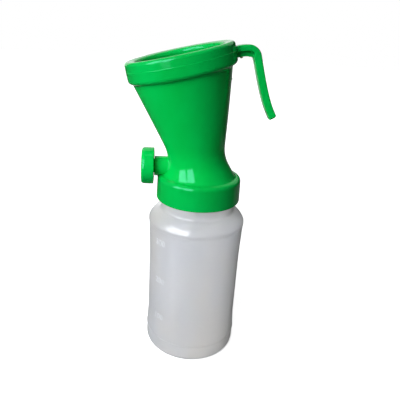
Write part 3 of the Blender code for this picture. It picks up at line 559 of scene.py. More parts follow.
@dataclass(frozen=True)
class HeadPlastic(MouldedPlastic):
    """The head's plastic, with painted shade in the collar and in the rolled rim: there the colour is
    multiplied darker, to stand for the shade that falls on them.

    The collar is what lies below a height, and the rim what lies beyond a tilted plane. The painted shade
    comes in over a short way on both sides of each.
    """

    # shade: the colour that the painted shade multiplies by in the collar and the rim
    shade: Colour = (1.0, 0.86, 0.92)
    collar_top: float = 0.1335
    collar_edge: tuple[float, float] = (-0.0010, 0.0025)
    rim_foot: tuple[float, float] = (-0.0147, 0.2003)
    rim_edge: tuple[float, float] = (-0.0005, 0.0010)
    rim_tilt_deg: float = 14.0

    def tone(self, recipe: Recipe, place: bpy.types.NodeSocket) -> bpy.types.NodeSocket:
        """The clouded colour, multiplied by the painted shade in the collar and the rim.

        A point is in the rim where z cos(tilt) - x sin(tilt) is more than at the rim's foot.

        Args:
            recipe: The material's nodes.
            place: Where the clouds are read.

        Returns:
            The colour socket.
        """
        x, _, z = recipe.add("NodeSeparateXYZ", {0: recipe.place()}).outputs
        tilt = math.radians(self.rim_tilt_deg)
        start = self.rim_foot[1] * math.cos(tilt) - self.rim_foot[0] * math.sin(tilt)
        along = recipe.towards(z, x, 90.0 - self.rim_tilt_deg)
        rim_shade_mask = recipe.span(along, start + self.rim_edge[0], start + self.rim_edge[1])
        collar_low, collar_high = (self.collar_top + edge for edge in self.collar_edge)
        # Mask of the painted shade: 1 in the rim and in the collar, 0 elsewhere.
        thick = recipe.math("MAXIMUM", rim_shade_mask, recipe.span(z, collar_low, collar_high, 1.0, 0.0))
        # Painted shade: the clouded colour multiplied by the shade colour where the mask is 1.
        deeper = recipe.add(
            "NodeMix", {0: thick, 6: super().tone(recipe, place), 7: (*self.shade, 1.0)},
            data_type="RGBA", blend_type="MULTIPLY",
        )
        return deeper.outputs[2]


@dataclass(frozen=True)
class MilkyPlastic(Finish):
    """Blow-moulded natural polyethylene: cloudy, part see-through, waxy, a little wavy.

    The colour runs from a cool to a warm white along a soft noise, and the wall lets part of the light
    through.
    """

    cool: Colour = (0.81, 0.82, 0.855)
    warm: Colour = (0.855, 0.835, 0.81)
    transmission: float = 0.68
    spread: float = 0.006
    ior: float = 1.25
    roughness: tuple[float, float] = (0.48, 0.58)
    specular: float = 0.12
    coat: float = 1.0
    sheen: float = 1.0
    coat_roughness: float = 0.05
    coat_ior: float = 1.5
    flow: Colour = (1.0, 1.0, 0.6)
    cloud_scale: float = 24.0
    cloud_span: tuple[float, float] = (0.34, 0.64)
    gloss_scale: float = 75.0
    ripple_scale: float = 130.0
    ripple_depth: float = 0.00004

    def shader(self, recipe: Recipe) -> bpy.types.Node:
        """A Principled shader that mixes a milky body with rough see-through plastic.

        Args:
            recipe: The material's nodes.

        Returns:
            The Principled node.
        """
        place = centred_place(recipe, self.flow)
        clouds = recipe.noise(place, self.cloud_scale, detail=3.0)
        gloss = recipe.span(recipe.noise(place, self.gloss_scale, detail=4.0), *NOISE_SPAN, *self.roughness)
        ripple = recipe.noise(place, self.ripple_scale, detail=3.0)
        inputs = {
            "Base Color": recipe.ramp(clouds, self.cloud_span, (self.cool, self.warm)),
            "Roughness": gloss, "IOR": self.ior, "Specular IOR Level": self.specular,
            "Subsurface Weight": 1.0, "Subsurface Scale": self.spread, "Subsurface Radius": (1.0, 1.0, 1.0),
            "Transmission Weight": self.transmission, "Coat Weight": self.coat, "Coat IOR": self.coat_ior,
            "Coat Roughness": self.coat_roughness, "Coat Normal": recipe.bump(self.ripple_depth, ripple),
            "Sheen Weight": self.sheen,
        }
        return recipe.add("NodeBsdfPrincipled", inputs)


@dataclass(frozen=True)
class Rubber(Finish):
    """Moulded black rubber: dark, dry, with a fine grain and a grey bloom."""

    bloom: Colour = (0.030, 0.030, 0.032)
    black: Colour = (0.010, 0.010, 0.011)
    bloom_scale: float = 260.0
    bloom_span: tuple[float, float] = (0.4, 0.7)
    grain_scale: float = 2600.0
    grain_depth: float = 0.00001
    roughness: float = 0.62
    ior: float = 1.52

    def shader(self, recipe: Recipe) -> bpy.types.Node:
        """A rough Principled shader with bloom and grain.

        Args:
            recipe: The material's nodes.

        Returns:
            The Principled node.
        """
        place = centred_place(recipe)
        patches = recipe.noise(place, self.bloom_scale, detail=4.0)
        colour = recipe.ramp(patches, self.bloom_span, (self.black, self.bloom))
        grain = recipe.bump(self.grain_depth, recipe.noise(place, self.grain_scale))
        inputs = {"Base Color": colour, "Roughness": self.roughness, "Normal": grain, "IOR": self.ior}
        return recipe.add("NodeBsdfPrincipled", inputs)


@dataclass(frozen=True)
class Steel(Finish):
    """Stainless steel with fine drawn lines and uneven shine."""

    colour: Colour = (0.60, 0.60, 0.61)
    roughness: tuple[float, float] = (0.16, 0.34)
    drawn: Colour = (1.0, 1.0, 6.0)
    shine_scale: float = 800.0
    shine_span: tuple[float, float] = (0.3, 0.7)
    line_scale: float = 1800.0
    line_depth: float = 0.000004
    tone_scale: float = 500.0
    tone_span: tuple[float, float] = (0.35, 0.65)
    shade: float = 0.82

    def shader(self, recipe: Recipe) -> bpy.types.Node:
        """A metallic Principled shader with fine lines.

        Args:
            recipe: The material's nodes.

        Returns:
            The Principled node.
        """
        place = centred_place(recipe, self.drawn)
        shine = recipe.noise(place, self.shine_scale, detail=3.0)
        gloss = recipe.span(shine, *self.shine_span, *self.roughness)
        lines = recipe.bump(self.line_depth, recipe.noise(place, self.line_scale))
        darker = tuple(self.shade * value for value in self.colour)
        colour = recipe.ramp(recipe.noise(place, self.tone_scale), self.tone_span, (darker, self.colour))
        inputs = {"Base Color": colour, "Roughness": gloss, "Normal": lines, "Metallic": 1.0}
        return recipe.add("NodeBsdfPrincipled", inputs)


@dataclass(frozen=True)
class Foam(Finish):
    """Open-celled foam: pale cell walls, with painted shade darkening the pores."""

    wall: Colour = (0.42, 0.43, 0.44)
    pore_shade: Colour = (0.10, 0.10, 0.11)
    cell_scale: float = 1500.0
    cell_span: tuple[float, float] = (0.15, 0.55)
    cell_depth: float = 0.00015
    roughness: float = 0.95
    sheen: float = 0.15

    def shader(self, recipe: Recipe) -> bpy.types.Node:
        """A dull Principled shader whose cells come from a Voronoi pattern.

        Args:
            recipe: The material's nodes.

        Returns:
            The Principled node.
        """
        place = centred_place(recipe)
        cells = recipe.add("NodeTexVoronoi", {"Vector": place, "Scale": self.cell_scale}).outputs["Distance"]
        # Painted shade: the colour runs darker towards the middle of each cell, where the bump's pits are.
        inputs = {
            "Base Color": recipe.ramp(cells, self.cell_span, (self.pore_shade, self.wall)),
            "Roughness": self.roughness, "Normal": recipe.bump(self.cell_depth, cells),
            "Sheen Weight": self.sheen,
        }
        return recipe.add("NodeBsdfPrincipled", inputs)


GREEN = HeadPlastic(
    "green_moulded", light=(0.001, 0.60, 0.088), deep=(0.001, 0.54, 0.070), roughness=(0.045, 0.09),
    tint=(0.35, 0.92, 1.0),
)
GATE_SCAR = MouldedPlastic(
    "gate_scar", light=(0.52, 0.60, 0.20), deep=(0.34, 0.46, 0.12), roughness=(0.45, 0.60), specular=0.3,
)
MILKY = MilkyPlastic("milky_bottle")
# Raised numbers: opaque and lighter than the bottle's plastic; the extra lightness is painted light, standing
# for the light that the raised numbers catch.
RELIEF = MouldedPlastic(
    "milky_relief", light=(0.895, 0.905, 0.92), deep=(0.865, 0.875, 0.895), roughness=(0.30, 0.40),
    specular=0.5,
)
NATURAL = MouldedPlastic(
    "natural_tube", light=(0.74, 0.76, 0.76), deep=(0.66, 0.69, 0.70), roughness=(0.25, 0.36),
    subsurface=0.2, transmission=0.25,
)
WHITE = MouldedPlastic(
    "white_moulded", light=(0.78, 0.78, 0.76), deep=(0.70, 0.70, 0.68), roughness=(0.28, 0.42),
)
BLACK_RUBBER = Rubber("black_rubber")
BALL_STEEL = Steel("ball_steel")
WIRE_STEEL = Steel("wire_steel", colour=(0.50, 0.50, 0.51), roughness=(0.3, 0.5))
GREY_FOAM = Foam("grey_foam")


def place_piece(
    piece: bpy.types.Object, finish: Finish, body: Body, slot: str, *nodes: str, sharp_deg: float = 38.0
) -> bpy.types.Object:
    """Dress a finished piece, put it on its body and hide the nodes that it stands for.

    Args:
        piece: The new object.
        finish: Its finish.
        body: The body that it moves with.
        slot: The record's material slot; not used.
        nodes: CAD nodes that it replaces.
        sharp_deg: Edges that turn more than this stay sharp.

    Returns:
        The same object.
    """
    smooth(piece.data, sharp_deg)
    piece.data.materials.clear()
    piece.data.materials.append(finish.material())
    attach(piece, body.value)
    if nodes:
        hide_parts(*nodes)
    LOG.info("%s: %d faces on %s", piece.name, len(piece.data.polygons), body.value)
    return piece


@dataclass(frozen=True)
class Levels:
    """Heights that the pieces share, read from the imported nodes' boxes."""

    mouth: float
    ledge: float
    collar_foot: float
    plug: float
    floor: float

    @classmethod
    def from_frame(cls) -> "Levels":
        """Read the boxes of the bottle, gasket, head, plug and screen.

        Returns:
            The levels.
        """
        plug_low, plug_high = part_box("foam_plug")
        return cls(
            mouth=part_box("bottle")[1].z,
            ledge=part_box("mouth_gasket")[1].z + SEAT_GAP,
            collar_foot=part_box("cup_head")[0].z,
            plug=0.5 * (plug_low.z + plug_high.z),
            floor=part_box("outlet_screen")[1].z,
        )


@dataclass(frozen=True)
class Thread:
    """The screw thread: a ridge on the bottle's neck, and one in the head's collar half a pitch higher.

    It starts a drop below the bottle's mouth, and its steps are counted in each turn.
    """

    rise: float = 0.0014
    width: float = 0.0009
    pitch: float = 0.0040
    drop: float = 0.0072
    start_deg: float = 40.0
    turned: float = 1.4
    steps: int = 120
    end_width: float = 0.35

    def ridge(self, root: float, side: float, start_z: float) -> Array:
        """A ridge rooted in a cylinder, with a rounded trapezium for its section.

        Point (a, s) lies at radius root + side * rise * taper(a) * out(s) and height
        start_z + pitch * a / 360 + width * along(s); taper runs in and out over a sixth of a turn.

        Args:
            root: Radius of the cylinder that carries it.
            side: 1 for a ridge that points outwards and -1 for one that points inwards.
            start_z: Height of the lower end.

        Returns:
            A capped grid.
        """
        out = np.array([-0.12, 0.0, 0.55, 0.92, 1.0, 1.0, 0.92, 0.55, 0.0, -0.12])
        along = np.array([-0.9, -1.0, -0.72, -0.52, -0.30, 0.30, 0.52, 0.72, 1.0, 0.9])
        angle = np.linspace(0.0, 2.0 * np.pi * self.turned, int(self.steps * self.turned))
        fade = smoothstep(np.minimum(angle, angle[-1] - angle) / (np.pi / 3.0))[:, None]
        radius = root + side * self.rise * np.where(out > 0.0, out * fade, out)
        spread = self.width * along * (self.end_width + (1.0 - self.end_width) * fade)
        height = start_z + self.pitch * angle[:, None] / (2.0 * np.pi) + spread
        place = angle[:, None] + math.radians(self.start_deg)
        return capped(np.stack([radius * np.cos(place), radius * np.sin(place), height], axis=-1))


THREAD = Thread()


@dataclass
class Bottle:
    """The blow-moulded squeeze bottle with its screw neck, raised marks and mould lines.

    The shoulder starts shoulder_from fillets beyond the neck's band. The line is the mould's crease, whose
    size also rounds the edges beside it.
    """

    levels: Levels
    finish: MilkyPlastic = MILKY
    radius: float = 0.0330
    wall: float = 0.0011
    neck_radius: float = 0.0242
    neck_wall: float = 0.0017
    neck_height: float = 0.0194
    band_proud: float = 0.0014
    band_height: float = 0.0093
    band_fillet: float = 0.0015
    shoulder_proud: float = 0.0009
    shoulder_rise: float = 0.0080
    shoulder_power: float = 1.50
    shoulder_from: float = 2.2
    shoulder_side: float = 0.0014
    undercut: float = 0.0005
    step: float = 0.0035
    grip_inset: float = 0.0002
    grip_top_drop: float = 0.0260
    grip_foot_rise: float = 0.0170
    base_proud: float = 0.0007
    bead_top: float = 0.0132
    base_fillet: float = 0.0050
    ring_width: float = 0.0045
    pad_radius: float = 0.0110
    recess: float = 0.0007
    line: float = 0.00022
    mouth_edge: float = 0.0006
    band_edge: float = 0.0008
    pad_edge: float = 0.0003
    recess_edge: float = 0.0004
    seam_height: float = 0.00007
    seam_foot_z: float = 0.0008
    marks: tuple[tuple[str, float], ...] = (("300", 0.0912), ("200", 0.0613), ("100", 0.0314))
    mark_height: float = 0.0043
    letter_share: float = 0.70
    mark_depth: float = 0.00016
    mark_bevel: float = 0.00006
    mark_azimuth_deg: float = -49.3
    seam_azimuth_deg: float = -64.0
    columns: int = 216

    def easing(self, start: Array, end: Array, steps: int) -> Array:
        """A stretch of the side whose radius follows half a cosine wave, so both ends run upright.

        Args:
            start: First point as (radius, height).
            end: Last point.
            steps: Number of points.

        Returns:
            Points (steps, 2).
        """
        share = np.linspace(0.0, 1.0, steps)[:, None]
        blend = 0.5 - 0.5 * np.cos(np.pi * share)
        radius = start[0] + (end[0] - start[0]) * blend
        return np.hstack([radius, start[1] + (end[1] - start[1]) * share])

    def outer(self) -> Array:
        """The outer side, from the mouth down to the middle of the base.

        The shoulder is a quarter of a superellipse: across = sin(a)^(2/p) and up = cos(a)^(2/p).

        Returns:
            Points (n, 2) as (radius, height), all apart.
        """
        body_top = self.levels.mouth - self.neck_height
        band = self.neck_radius + self.band_proud
        shoulder = self.radius + self.shoulder_proud
        dome_z = body_top - self.shoulder_rise
        foot_z = dome_z - self.shoulder_side
        band_top = body_top + self.band_height
        angle = np.linspace(0.0, 0.5 * np.pi, 60)
        across = np.sin(angle) ** (2.0 / self.shoulder_power)
        up = np.cos(angle) ** (2.0 / self.shoulder_power)
        dome = np.column_stack([band + (shoulder - band) * across, dome_z + self.shoulder_rise * up])
        dome = dome[dome[:, 0] > band + self.shoulder_from * self.band_fillet]
        start = (dome[0, 0], dome[0, 1])
        neck = rounded(
            np.array([
                (self.neck_radius, self.levels.mouth), (self.neck_radius, band_top + self.band_proud),
                (band, band_top), (band, body_top), start,
            ]),
            (0.0, self.mouth_edge, self.band_edge, self.band_fillet, 0.0), steps=8,
        )
        line, grip = self.line, self.radius - self.grip_inset
        crease = rounded(
            np.array([
                (shoulder, foot_z), (shoulder - line, foot_z - line), (shoulder - line, foot_z - 2.2 * line),
                (shoulder - 0.4 * line, foot_z - 3.2 * line), (shoulder - self.undercut, foot_z - self.step),
            ]),
            (0.0, line, line, 2.0 * line, 0.0), steps=3,
        )
        grip_top = np.array((grip, foot_z - self.grip_top_drop))
        grip_foot = np.array((grip, self.bead_top + self.grip_foot_rise))
        widest = self.radius + self.base_proud
        bead_foot = np.array((widest - line, self.bead_top + 2.5 * line))
        body = np.vstack([
            self.easing(crease[-1], grip_top, 26), self.easing(grip_top, grip_foot, 16)[1:],
            self.easing(grip_foot, bead_foot, 18)[1:],
        ])
        ring_outer = widest - self.base_fillet
        ring_inner = ring_outer - self.ring_width
        ridge = rounded(
            np.array([
                bead_foot, (widest + 0.3 * line, self.bead_top + line), (widest + 0.3 * line, self.bead_top),
                (widest - line, self.bead_top - 1.5 * line), (widest - line, self.base_fillet),
            ]),
            (0.0, line, line, 2.0 * line, 0.0), steps=3,
        )
        base = arc((ring_outer - line, self.base_fillet), self.base_fillet, 0.0, -90.0, 16)
        underside = rounded(
            np.array([
                base[-1], (ring_inner, 0.0), (ring_inner - self.recess, self.recess),
                (self.pad_radius + self.recess, self.recess), (self.pad_radius, 0.0), (0.0, 0.0),
            ]),
            (0.0, self.pad_edge, self.recess_edge, self.recess_edge, self.pad_edge, 0.0),
        )
        path = np.vstack([neck, dome, crease, body, ridge, base, underside])
        apart = np.linalg.norm(np.diff(path, axis=0), axis=1) > 2.0 * WELD
        return path[np.concatenate([[True], apart])]

    def skin(self) -> Array:
        """Both sides of the wall: the inner side is the outer one moved along its normal by the wall.

        Returns:
            Points (n, 2), up the inner side and down the outer one.
        """
        outer = self.outer()
        slope = np.gradient(outer, axis=0)
        slope /= np.linalg.norm(slope, axis=1, keepdims=True)
        inward = np.column_stack([slope[:, 1], -slope[:, 0]])
        body_top = self.levels.mouth - self.neck_height
        at_neck = smoothstep((outer[:, 1:] - body_top) / self.band_height + 0.5)
        inner = outer + inward * (self.wall + (self.neck_wall - self.wall) * at_neck)
        inner[:, 0] = np.maximum(inner[:, 0], 0.0)
        inner[-1, 0] = 0.0
        inner[0, 1] = outer[0, 1]
        return np.vstack([inner[::-1], outer])

    def seam(self, azimuth_deg: float) -> Array:
        """The mould's parting line, a low rib that follows the outer side from the neck band to the base.

        Point (z, s) lies at radius side(z) + out(s) and angle azimuth + aside(s) / R.

        Args:
            azimuth_deg: Where the rib stands.

        Returns:
            A capped grid.
        """
        outer = self.outer()
        body_top = self.levels.mouth - self.neck_height
        shown = outer[(outer[:, 1] > self.seam_foot_z) & (outer[:, 1] < body_top)]
        out = np.array([-SUNK, 0.00002, 0.00006, self.seam_height, 0.00006, 0.00002, -SUNK])
        aside = np.array([-0.00022, -0.00019, -0.00009, 0.0, 0.00009, 0.00019, 0.00022])
        angle = math.radians(azimuth_deg - 90.0) + aside / self.radius
        radius = shown[:, :1] + out
        height = np.broadcast_to(shown[:, 1:], radius.shape)
        return capped(np.stack([radius * np.cos(angle), radius * np.sin(angle), height], axis=-1))

    def mark(self, text: str, middle_z: float) -> bpy.types.Object:
        """A raised number on the bottle's side.

        The flat text is made a mesh, and its points (x, y, depth) go to angle x / R, height y and radius
        R + depth.

        Args:
            text: The number.
            middle_z: Height of its middle.

        Returns:
            The new object.
        """
        curve = bpy.data.curves.new(f"mark_{text}", "FONT")
        curve.body = text
        curve.size = self.mark_height / self.letter_share
        curve.extrude = self.mark_depth
        curve.bevel_depth = self.mark_bevel
        curve.bevel_resolution = 2
        curve.align_x = "CENTER"
        curve.align_y = "CENTER"
        flat = linked(f"flat_{text}", curve)
        mesh = evaluated_mesh(flat)
        bpy.data.objects.remove(flat, do_unlink=True)
        tidy(mesh)
        points = np.empty(len(mesh.vertices) * 3, np.float32)
        mesh.vertices.foreach_get("co", points)
        x, y, depth = points.reshape(-1, 3).T
        outer = self.outer()
        reach = np.interp(middle_z + y, outer[::-1, 1], outer[::-1, 0]) + depth
        angle = math.radians(self.mark_azimuth_deg - 90.0) + x / self.radius
        placed = np.column_stack([reach * np.cos(angle), reach * np.sin(angle), middle_z + y])
        mesh.vertices.foreach_set("co", placed.astype(np.float32).ravel())
        mesh.update()
        tidy(mesh)
        return linked(f"bottle_mark_{text}", mesh)

    def build(self) -> None:
        """Make the bottle's pieces and put them on their body."""
        shell = solid("bottle_shell", [upright(self.skin(), self.columns)])
        start_z = self.levels.mouth - THREAD.drop
        thread = solid("bottle_thread", [THREAD.ridge(self.neck_radius, 1.0, start_z)])
        halves = (self.seam_azimuth_deg, self.seam_azimuth_deg + 180.0)
        seams = solid("bottle_seams", [self.seam(azimuth_deg) for azimuth_deg in halves])
        marks = [self.mark(text, height) for text, height in self.marks]
        for piece in (shell, thread, seams):
            place_piece(piece, self.finish, Body.BOTTLE, "milky_plastic", "bottle")
        # The raised numbers get the lighter finish, whose lightness is painted light.
        for piece in marks:
            place_piece(piece, RELIEF, Body.BOTTLE, "milky_plastic", "bottle")


@dataclass
class Head:
    """The green moulding: screw collar, neck, slanted cup with a rolled rim, plug spigot and hook.

    Its skin is a stack of rounds, each a row of (centre x, centre z, radius, tilt towards -X). Shares are
    places along the neck or the cup, from 0 to 1. The marks are what the mould's gates and ejectors left.
    """

    levels: Levels
    finish: MouldedPlastic = GREEN
    wall: float = 0.0022
    collar_radius: float = 0.0291
    collar_bore: float = 0.0267
    collar_draft: float = 0.0003
    collar_fillet: float = 0.0028
    collar_edge: float = 0.0009
    ledge_inner: float = 0.0205
    flare_foot: float = 0.0239
    flare_power: float = 1.55
    waist_radius: float = 0.0190
    waist_shift: float = -0.0031
    cup_length: float = 0.0530
    cup_lean_deg: float = 12.6
    rim_tilt_deg: float = 14.0
    cup_top_radius: float = 0.0323
    floor_thickness: float = 0.0030
    floor_fillet: float = 0.0020
    rim_proud: float = 0.0032
    rim_draft: float = 0.0001
    rim_shift: float = 0.0005
    rim_height: float = 0.0148
    rim_foot_rise: float = 0.0009
    rim_part_line: float = 0.0088
    rim_part_step: float = 0.00008
    rim_foot_fillet: float = 0.0026
    rim_crown_draft: float = 0.0002
    rim_crown: float = 0.0022
    rim_land: float = 0.0024
    rim_land_drop: float = 0.0004
    lip_inset: float = 0.0017
    lip_depth: float = 0.0034
    lip_draft: float = 0.0006
    lip_from_deg: float = 84.0
    lip_gap: float = 0.0001
    lip_edge: float = 0.0006
    outlet_radius: float = 0.0034
    well_radius: float = 0.0068
    well_depth: float = 0.0016
    spigot_reach: float = 0.0310
    spigot_radius: float = 0.0068
    spigot_root: float = 0.0007
    bore_radius: float = 0.0050
    bore_depth: float = 0.0083
    socket_radius: float = 0.0080
    socket_bore: float = 0.0060
    socket_length: float = 0.0072
    socket_roof: float = 0.0009
    port_radius: float = 0.0030
    port_reach: float = 0.010
    opening_from: float = 0.0140
    spigot_back: float = 0.0018
    spigot_tip: float = 0.002
    socket_drop: float = 0.002
    spigot_overlap: float = 0.0015
    spigot_edges: tuple[float, float] = (0.0005, 0.0004)
    ceiling_margin: float = 0.001
    ceiling_inset: float = 0.0003
    fine_edge: float = 0.0002
    bore_edge: float = 0.0003
    foot_edge: float = 0.0008
    neck_shares: tuple[float, float] = (0.0, 0.58)
    cup_shares: tuple[float, float] = (0.13, 0.995)
    hollow_shares: tuple[float, float] = (0.86, 0.22)
    funnel_shares: tuple[float, float] = (0.97, 0.06)
    wall_rounds: int = 150
    easing_reach: int = 7
    easing_bell: float = 3.0
    easing_from: float = 0.004
    easing_run: float = 0.006
    collar_mark_deg: float = -1.4
    collar_mark_rise: float = 0.0052
    collar_mark_size: tuple[float, float] = (0.00055, 0.00025)
    cup_mark: tuple[float, float, float] = (0.0164, -0.0008, 0.1997)
    cup_mark_radii: tuple[float, float, float] = (0.0009, 0.0008, 0.0010)
    gate_nub: tuple[float, float, float] = (0.0218, 0.0, 0.2133)
    gate_nub_radii: tuple[float, float, float] = (0.0011, 0.0008, 0.0008)
    columns: int = 240
    cup_top: Array = field(init=False)

    def __post_init__(self) -> None:
        """Work out where the cup ends and the rim begins."""
        lean = math.radians(self.cup_lean_deg)
        self.cup_top = np.array((
            self.waist_shift - self.cup_length * math.sin(lean),
            self.levels.floor + self.cup_length * math.cos(lean),
        ))

    @property
    def tilt(self) -> float:
        """The mouth's tilt in radians."""
        return math.radians(self.rim_tilt_deg)

    @property
    def rim_radius(self) -> float:
        """The rolled rim's outer radius."""
        return self.cup_top_radius + self.rim_proud

    def collar_round(self) -> Array:
        """The collar's rounded upper edge as points (radius, height), from its side to its top."""
        middle = (self.collar_radius - self.collar_draft - self.collar_fillet, self.levels.ledge)
        return arc(middle, self.collar_fillet, 0.0, 90.0, 14)

    def axis_rounds(self, profile: Array) -> Array:
        """Level rounds about the bottle's axis from (radius, height) points."""
        zero = np.zeros(len(profile))
        return np.column_stack([zero, profile[:, 1], profile[:, 0], zero])

    def waist_rounds(self, profile: Array) -> Array:
        """Level rounds about the waist's middle.

        Args:
            profile: Points (n, 2) as (radius, height).

        Returns:
            Rounds (n, 4).
        """
        rounds = self.axis_rounds(profile)
        rounds[:, 0] = self.waist_shift
        return rounds

    def neck_rounds(self, share: Array, inset: float = 0.0) -> Array:
        """Rounds of the neck between the collar (0) and the waist (1).

        With the angle a = 90 degrees * share and the power p, the radius falls with 1 - sin(a)^p while the
        height rises with 1 - cos(a)^p, a hollow quarter of a superellipse.

        Args:
            share: Places between 0 and 1.
            inset: How far inside the outer skin.

        Returns:
            Rounds (n, 4).
        """
        low = self.levels.ledge + self.collar_fillet
        angle = 0.5 * np.pi * share
        across = 1.0 - np.sin(angle) ** self.flare_power
        up = 1.0 - np.cos(angle) ** self.flare_power
        foot = self.flare_foot + 0.5 * self.collar_fillet
        radius = self.waist_radius + (foot - self.waist_radius) * across - inset
        height = low + (self.levels.floor - low) * up
        return np.column_stack([self.waist_shift * up ** 2, height, radius, np.zeros(len(share))])

    def cup_rounds(self, share: Array, inset: float = 0.0) -> Array:
        """Rounds of the cup between the waist (0) and the rim (1): centre, radius and tilt run evenly.

        Args:
            share: Places between 0 and 1.
            inset: How far inside the outer skin.

        Returns:
            Rounds (n, 4).
        """
        waist = np.array((self.waist_shift, self.levels.floor))
        middle = waist + (self.cup_top - waist) * share[:, None]
        radius = self.waist_radius + (self.cup_top_radius - self.waist_radius) * share - inset
        return np.column_stack([middle, radius, self.tilt * share])

    def rim_rounds(self, profile: Array) -> Array:
        """Rounds square to the rim's axis.

        Args:
            profile: Points (n, 2) as (radius, rise from the cup's top).

        Returns:
            Rounds (n, 4).
        """
        along = np.array((-math.sin(self.tilt), math.cos(self.tilt)))
        middle = self.cup_top + np.array((self.rim_shift, 0.0)) + profile[:, 1:] * along
        return np.column_stack([middle, profile[:, 0], np.full(len(profile), self.tilt)])

    def outer_wall(self) -> Array:
        """The outer wall from the collar's top to the rim, with the waist's corner eased.

        The neck and the cup are joined by a quadratic curve of rounds, resampled at an even spacing and
        averaged with a bell-shaped weight over a few millimetres, so that no crease shows in the gloss.

        Returns:
            Rounds (n, 4).
        """
        neck = self.neck_rounds(np.linspace(*self.neck_shares, 40))
        corner = self.cup_rounds(np.zeros(1))
        cup = self.cup_rounds(np.linspace(*self.cup_shares, 60))
        bend = quadratic(neck[-1:], corner, cup[:1], np.linspace(0.0, 1.0, 22)[1:-1, None])
        path = np.vstack([neck, bend, cup])
        step = np.linalg.norm(np.diff(path[:, 1:3], axis=0), axis=1)
        along = np.concatenate([[0.0], np.cumsum(step)])
        even = np.linspace(0.0, along[-1], self.wall_rounds)
        path = np.column_stack([np.interp(even, along, path[:, k]) for k in range(4)])
        reach = self.easing_reach
        weight = np.exp(-0.5 * (np.arange(-reach, reach + 1) / self.easing_bell) ** 2)
        weight /= weight.sum()
        eased = path.copy()
        inside = slice(reach, len(path) - reach)
        for k in range(4):
            eased[inside, k] = np.convolve(path[:, k], weight, mode="valid")
        beyond_foot = smoothstep((even - self.easing_from) / self.easing_run)[:, None]
        return path + (eased - path) * beyond_foot

    def rim_profile(self) -> Array:
        """The rolled rim from its foot over the crown to the lip.

        Returns:
            Points (n, 2) as (radius, rise).
        """
        rim = self.rim_radius
        top = rim - self.rim_crown_draft - self.rim_crown
        mouth = self.cup_top_radius - self.wall - self.lip_inset
        lip_top = top - self.rim_land
        lip = lip_top - mouth
        foot = (rim - self.rim_draft - self.rim_foot_fillet, self.rim_foot_rise + self.rim_foot_fillet)
        step, line = self.rim_part_step, self.rim_part_line
        side = rounded(
            np.array([
                (rim - self.rim_draft, foot[1]), (rim, line - step), (rim - step, line),
                (rim - self.rim_crown_draft, self.rim_height - self.rim_crown),
            ]),
            (0.0, 0.6 * step, 0.6 * step, 0.0), steps=3,
        )
        crown = arc((top, self.rim_height - self.rim_crown), self.rim_crown, 0.0, 90.0, 18)
        lip_z = self.rim_height - self.rim_land_drop - lip
        inner = arc((lip_top, lip_z), lip, self.lip_from_deg, 180.0, 14)
        lip_end = rounded(
            np.array([
                (mouth, lip_z - self.lip_gap), (mouth + self.lip_draft, lip_z - self.lip_depth),
                (self.cup_top_radius - self.wall, 0.0),
            ]),
            (0.0, self.lip_edge, 0.0),
        )
        land = np.linspace(crown[-1], inner[0], 5)[1:-1]
        foot_round = arc(foot, self.rim_foot_fillet, -90.0, 0.0, 12)
        return braced(np.vstack([foot_round, side[1:], crown[1:], land, inner, lip_end]))

    def skin(self) -> Array:
        """The whole moulding as one ring-shaped skin, from the outlet's port round the walls and back.

        Returns:
            Rounds (n, 4), the last one joined to the first.
        """
        floor, ledge = self.levels.floor, self.levels.ledge
        ceiling = floor - self.floor_thickness
        hollow = self.neck_rounds(np.linspace(*self.hollow_shares, 16), self.wall)
        hollow = hollow[hollow[:, 1] < ceiling - self.ceiling_margin]
        top = hollow[:1].copy()
        top[0, 1:3] = (ceiling, hollow[0, 2] - self.ceiling_inset)
        port = self.waist_rounds(np.array([(self.outlet_radius, ceiling)]))
        foot = self.levels.collar_foot
        bore = rounded(
            np.array([
                (self.ledge_inner, ledge), (self.collar_bore, ledge), (self.collar_bore, foot),
                (self.collar_radius, foot), (self.collar_radius - self.collar_draft, ledge),
            ]),
            (0.0, self.bore_edge, self.foot_edge, self.collar_edge, 0.0), steps=5,
        )
        corner = (self.waist_radius - self.wall - self.floor_fillet, floor + self.floor_fillet)
        well = rounded(
            np.array([
                (corner[0], floor), (self.well_radius, floor), (self.well_radius, floor - self.well_depth),
                (self.outlet_radius, floor - self.well_depth), (self.outlet_radius, ceiling + self.fine_edge),
            ]),
            (0.0, self.fine_edge, self.fine_edge, self.fine_edge, 0.0), steps=2,
        )
        return np.vstack([
            port, top, hollow, self.axis_rounds(braced(bore)), self.axis_rounds(self.collar_round()[1:]),
            self.outer_wall(), self.rim_rounds(self.rim_profile()),
            self.cup_rounds(np.linspace(*self.funnel_shares, 20), self.wall),
            self.waist_rounds(arc(corner, self.floor_fillet, -20.0, -90.0, 6)), self.waist_rounds(well),
        ])

    def grid(self, rounds: Array) -> Array:
        """The points of every round.

        Args:
            rounds: Rounds (n, 4).

        Returns:
            A grid of centre + radius * (cos a * (cos tilt, 0, sin tilt) + sin a * (0, 1, 0)).
        """
        angle = turns(self.columns)
        x, z, radius, tilt = (rounds[:, k, None] for k in range(4))
        across = radius * np.cos(angle)
        x, z = x + across * np.cos(tilt), z + across * np.sin(tilt)
        return np.stack([x, radius * np.sin(angle), z], axis=-1)

